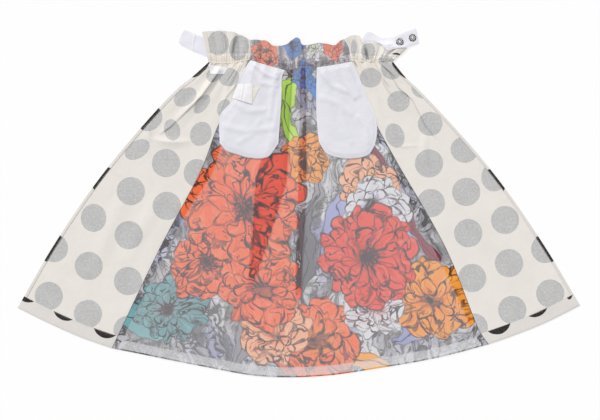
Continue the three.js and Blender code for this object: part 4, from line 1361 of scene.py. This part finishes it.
def snap_blank():
    deselect_all()
    bpy.ops.mesh.primitive_cylinder_add(vertices=SNAP_SIDES, radius=SNAP_RADIUS * MM, depth=SNAP_PLATE * MM,
                                        location=(0, 0, SNAP_PLATE * MM / 2))
    blank = bpy.context.active_object
    bpy.ops.object.transform_apply(location=True)
    bpy.ops.object.mode_set(mode="EDIT")
    bpy.ops.mesh.select_mode(type="VERT")
    select_where(blank.data, lambda co: co.z > SNAP_PLATE * 0.75 * MM)
    for inwards, up in SNAP_STEPS:
        bpy.ops.mesh.inset(thickness=inwards * MM)
        bpy.ops.transform.translate(value=(0, 0, up * MM))
    select_where(blank.data, between_scallops)
    bpy.ops.transform.resize(value=(0.88, 0.88, 1))
    bpy.ops.object.mode_set(mode="OBJECT")
    return blank


def pierce(blank):
    """Cuts the four sewing holes and rounds every edge."""
    reach = SNAP_RADIUS * 0.76 * MM
    for turn in range(4):
        angle = math.pi * (turn / 2 + 0.25)
        deselect_all()
        bpy.ops.mesh.primitive_cylinder_add(vertices=16, radius=HOLE_RADIUS * MM, depth=6 * MM,
                                            location=(reach * math.cos(angle), reach * math.sin(angle), 0))
        drill = bpy.context.active_object
        cut = blank.modifiers.new("sewing_hole", "BOOLEAN")
        cut.operation = "DIFFERENCE"
        cut.object = drill
        deselect_all()
        bpy.context.view_layer.objects.active = blank
        bpy.ops.object.modifier_apply(modifier=cut.name)
        bpy.data.objects.remove(drill)
    soft = blank.modifiers.new("rounded", "BEVEL")
    soft.width = 0.12 * MM
    soft.segments = 2
    bpy.ops.object.modifier_apply(modifier=soft.name)
    blank.select_set(True)
    bpy.ops.object.shade_smooth_by_angle(angle=math.radians(35))


def place_snap(blank, name, x, y, turn):
    mesh = blank.data.copy()
    angles = np.linspace(0, 2 * math.pi, 12, endpoint=False)
    around = [(x, y)] + [(x + r * math.cos(a), y + r * math.sin(a)) for r in (5, 9) for a in angles]
    base = float(np.percentile(top_at(np.array([around], float)), 90)) + 0.1
    mesh.transform(Matrix.Translation((x * MM, y * MM, base * MM)) @ Matrix.Rotation(turn, 4, "Z"))
    snap = in_scene("sewn_" + name, mesh)
    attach(snap, "root")
    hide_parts(name)
    return round(base, 2)


snap_model = snap_blank()
pierce(snap_model)
snap_model.data.materials.append(snap_finish())
rises = [vertex.co.z / MM for vertex in snap_model.data.vertices]
snap_model.data.attributes.new("rise", "FLOAT", "POINT").data.foreach_set("value", rises)
print("snap faces:", len(snap_model.data.polygons), "bases in mm:",
      {name: place_snap(snap_model, name, *place) for name, place in SNAP_PLACES.items()})
bpy.data.objects.remove(snap_model)

# %% [markdown]
# The table top is a light table, as under many catalogue pictures. Most of its white is light of its
# own over a grey face, so the skirt's shadows on it stay faint.

# %% Table top
def table_finish():
    finish, sockets = new_finish("light_table", {
        "Emission Color": (1, 1, 1, 1), "Emission Strength": 0.69, "Roughness": 0.9,
        "Specular IOR Level": 0.1})
    place = one_wire("ShaderNodeTexCoord", {}, "Object", tree=finish.node_tree)
    plug(sockets["Base Color"], blend(noise(place, 3.0, 2.0), (149, 149, 149), (151, 151, 151)))
    return finish


table_top.data.materials.append(table_finish())
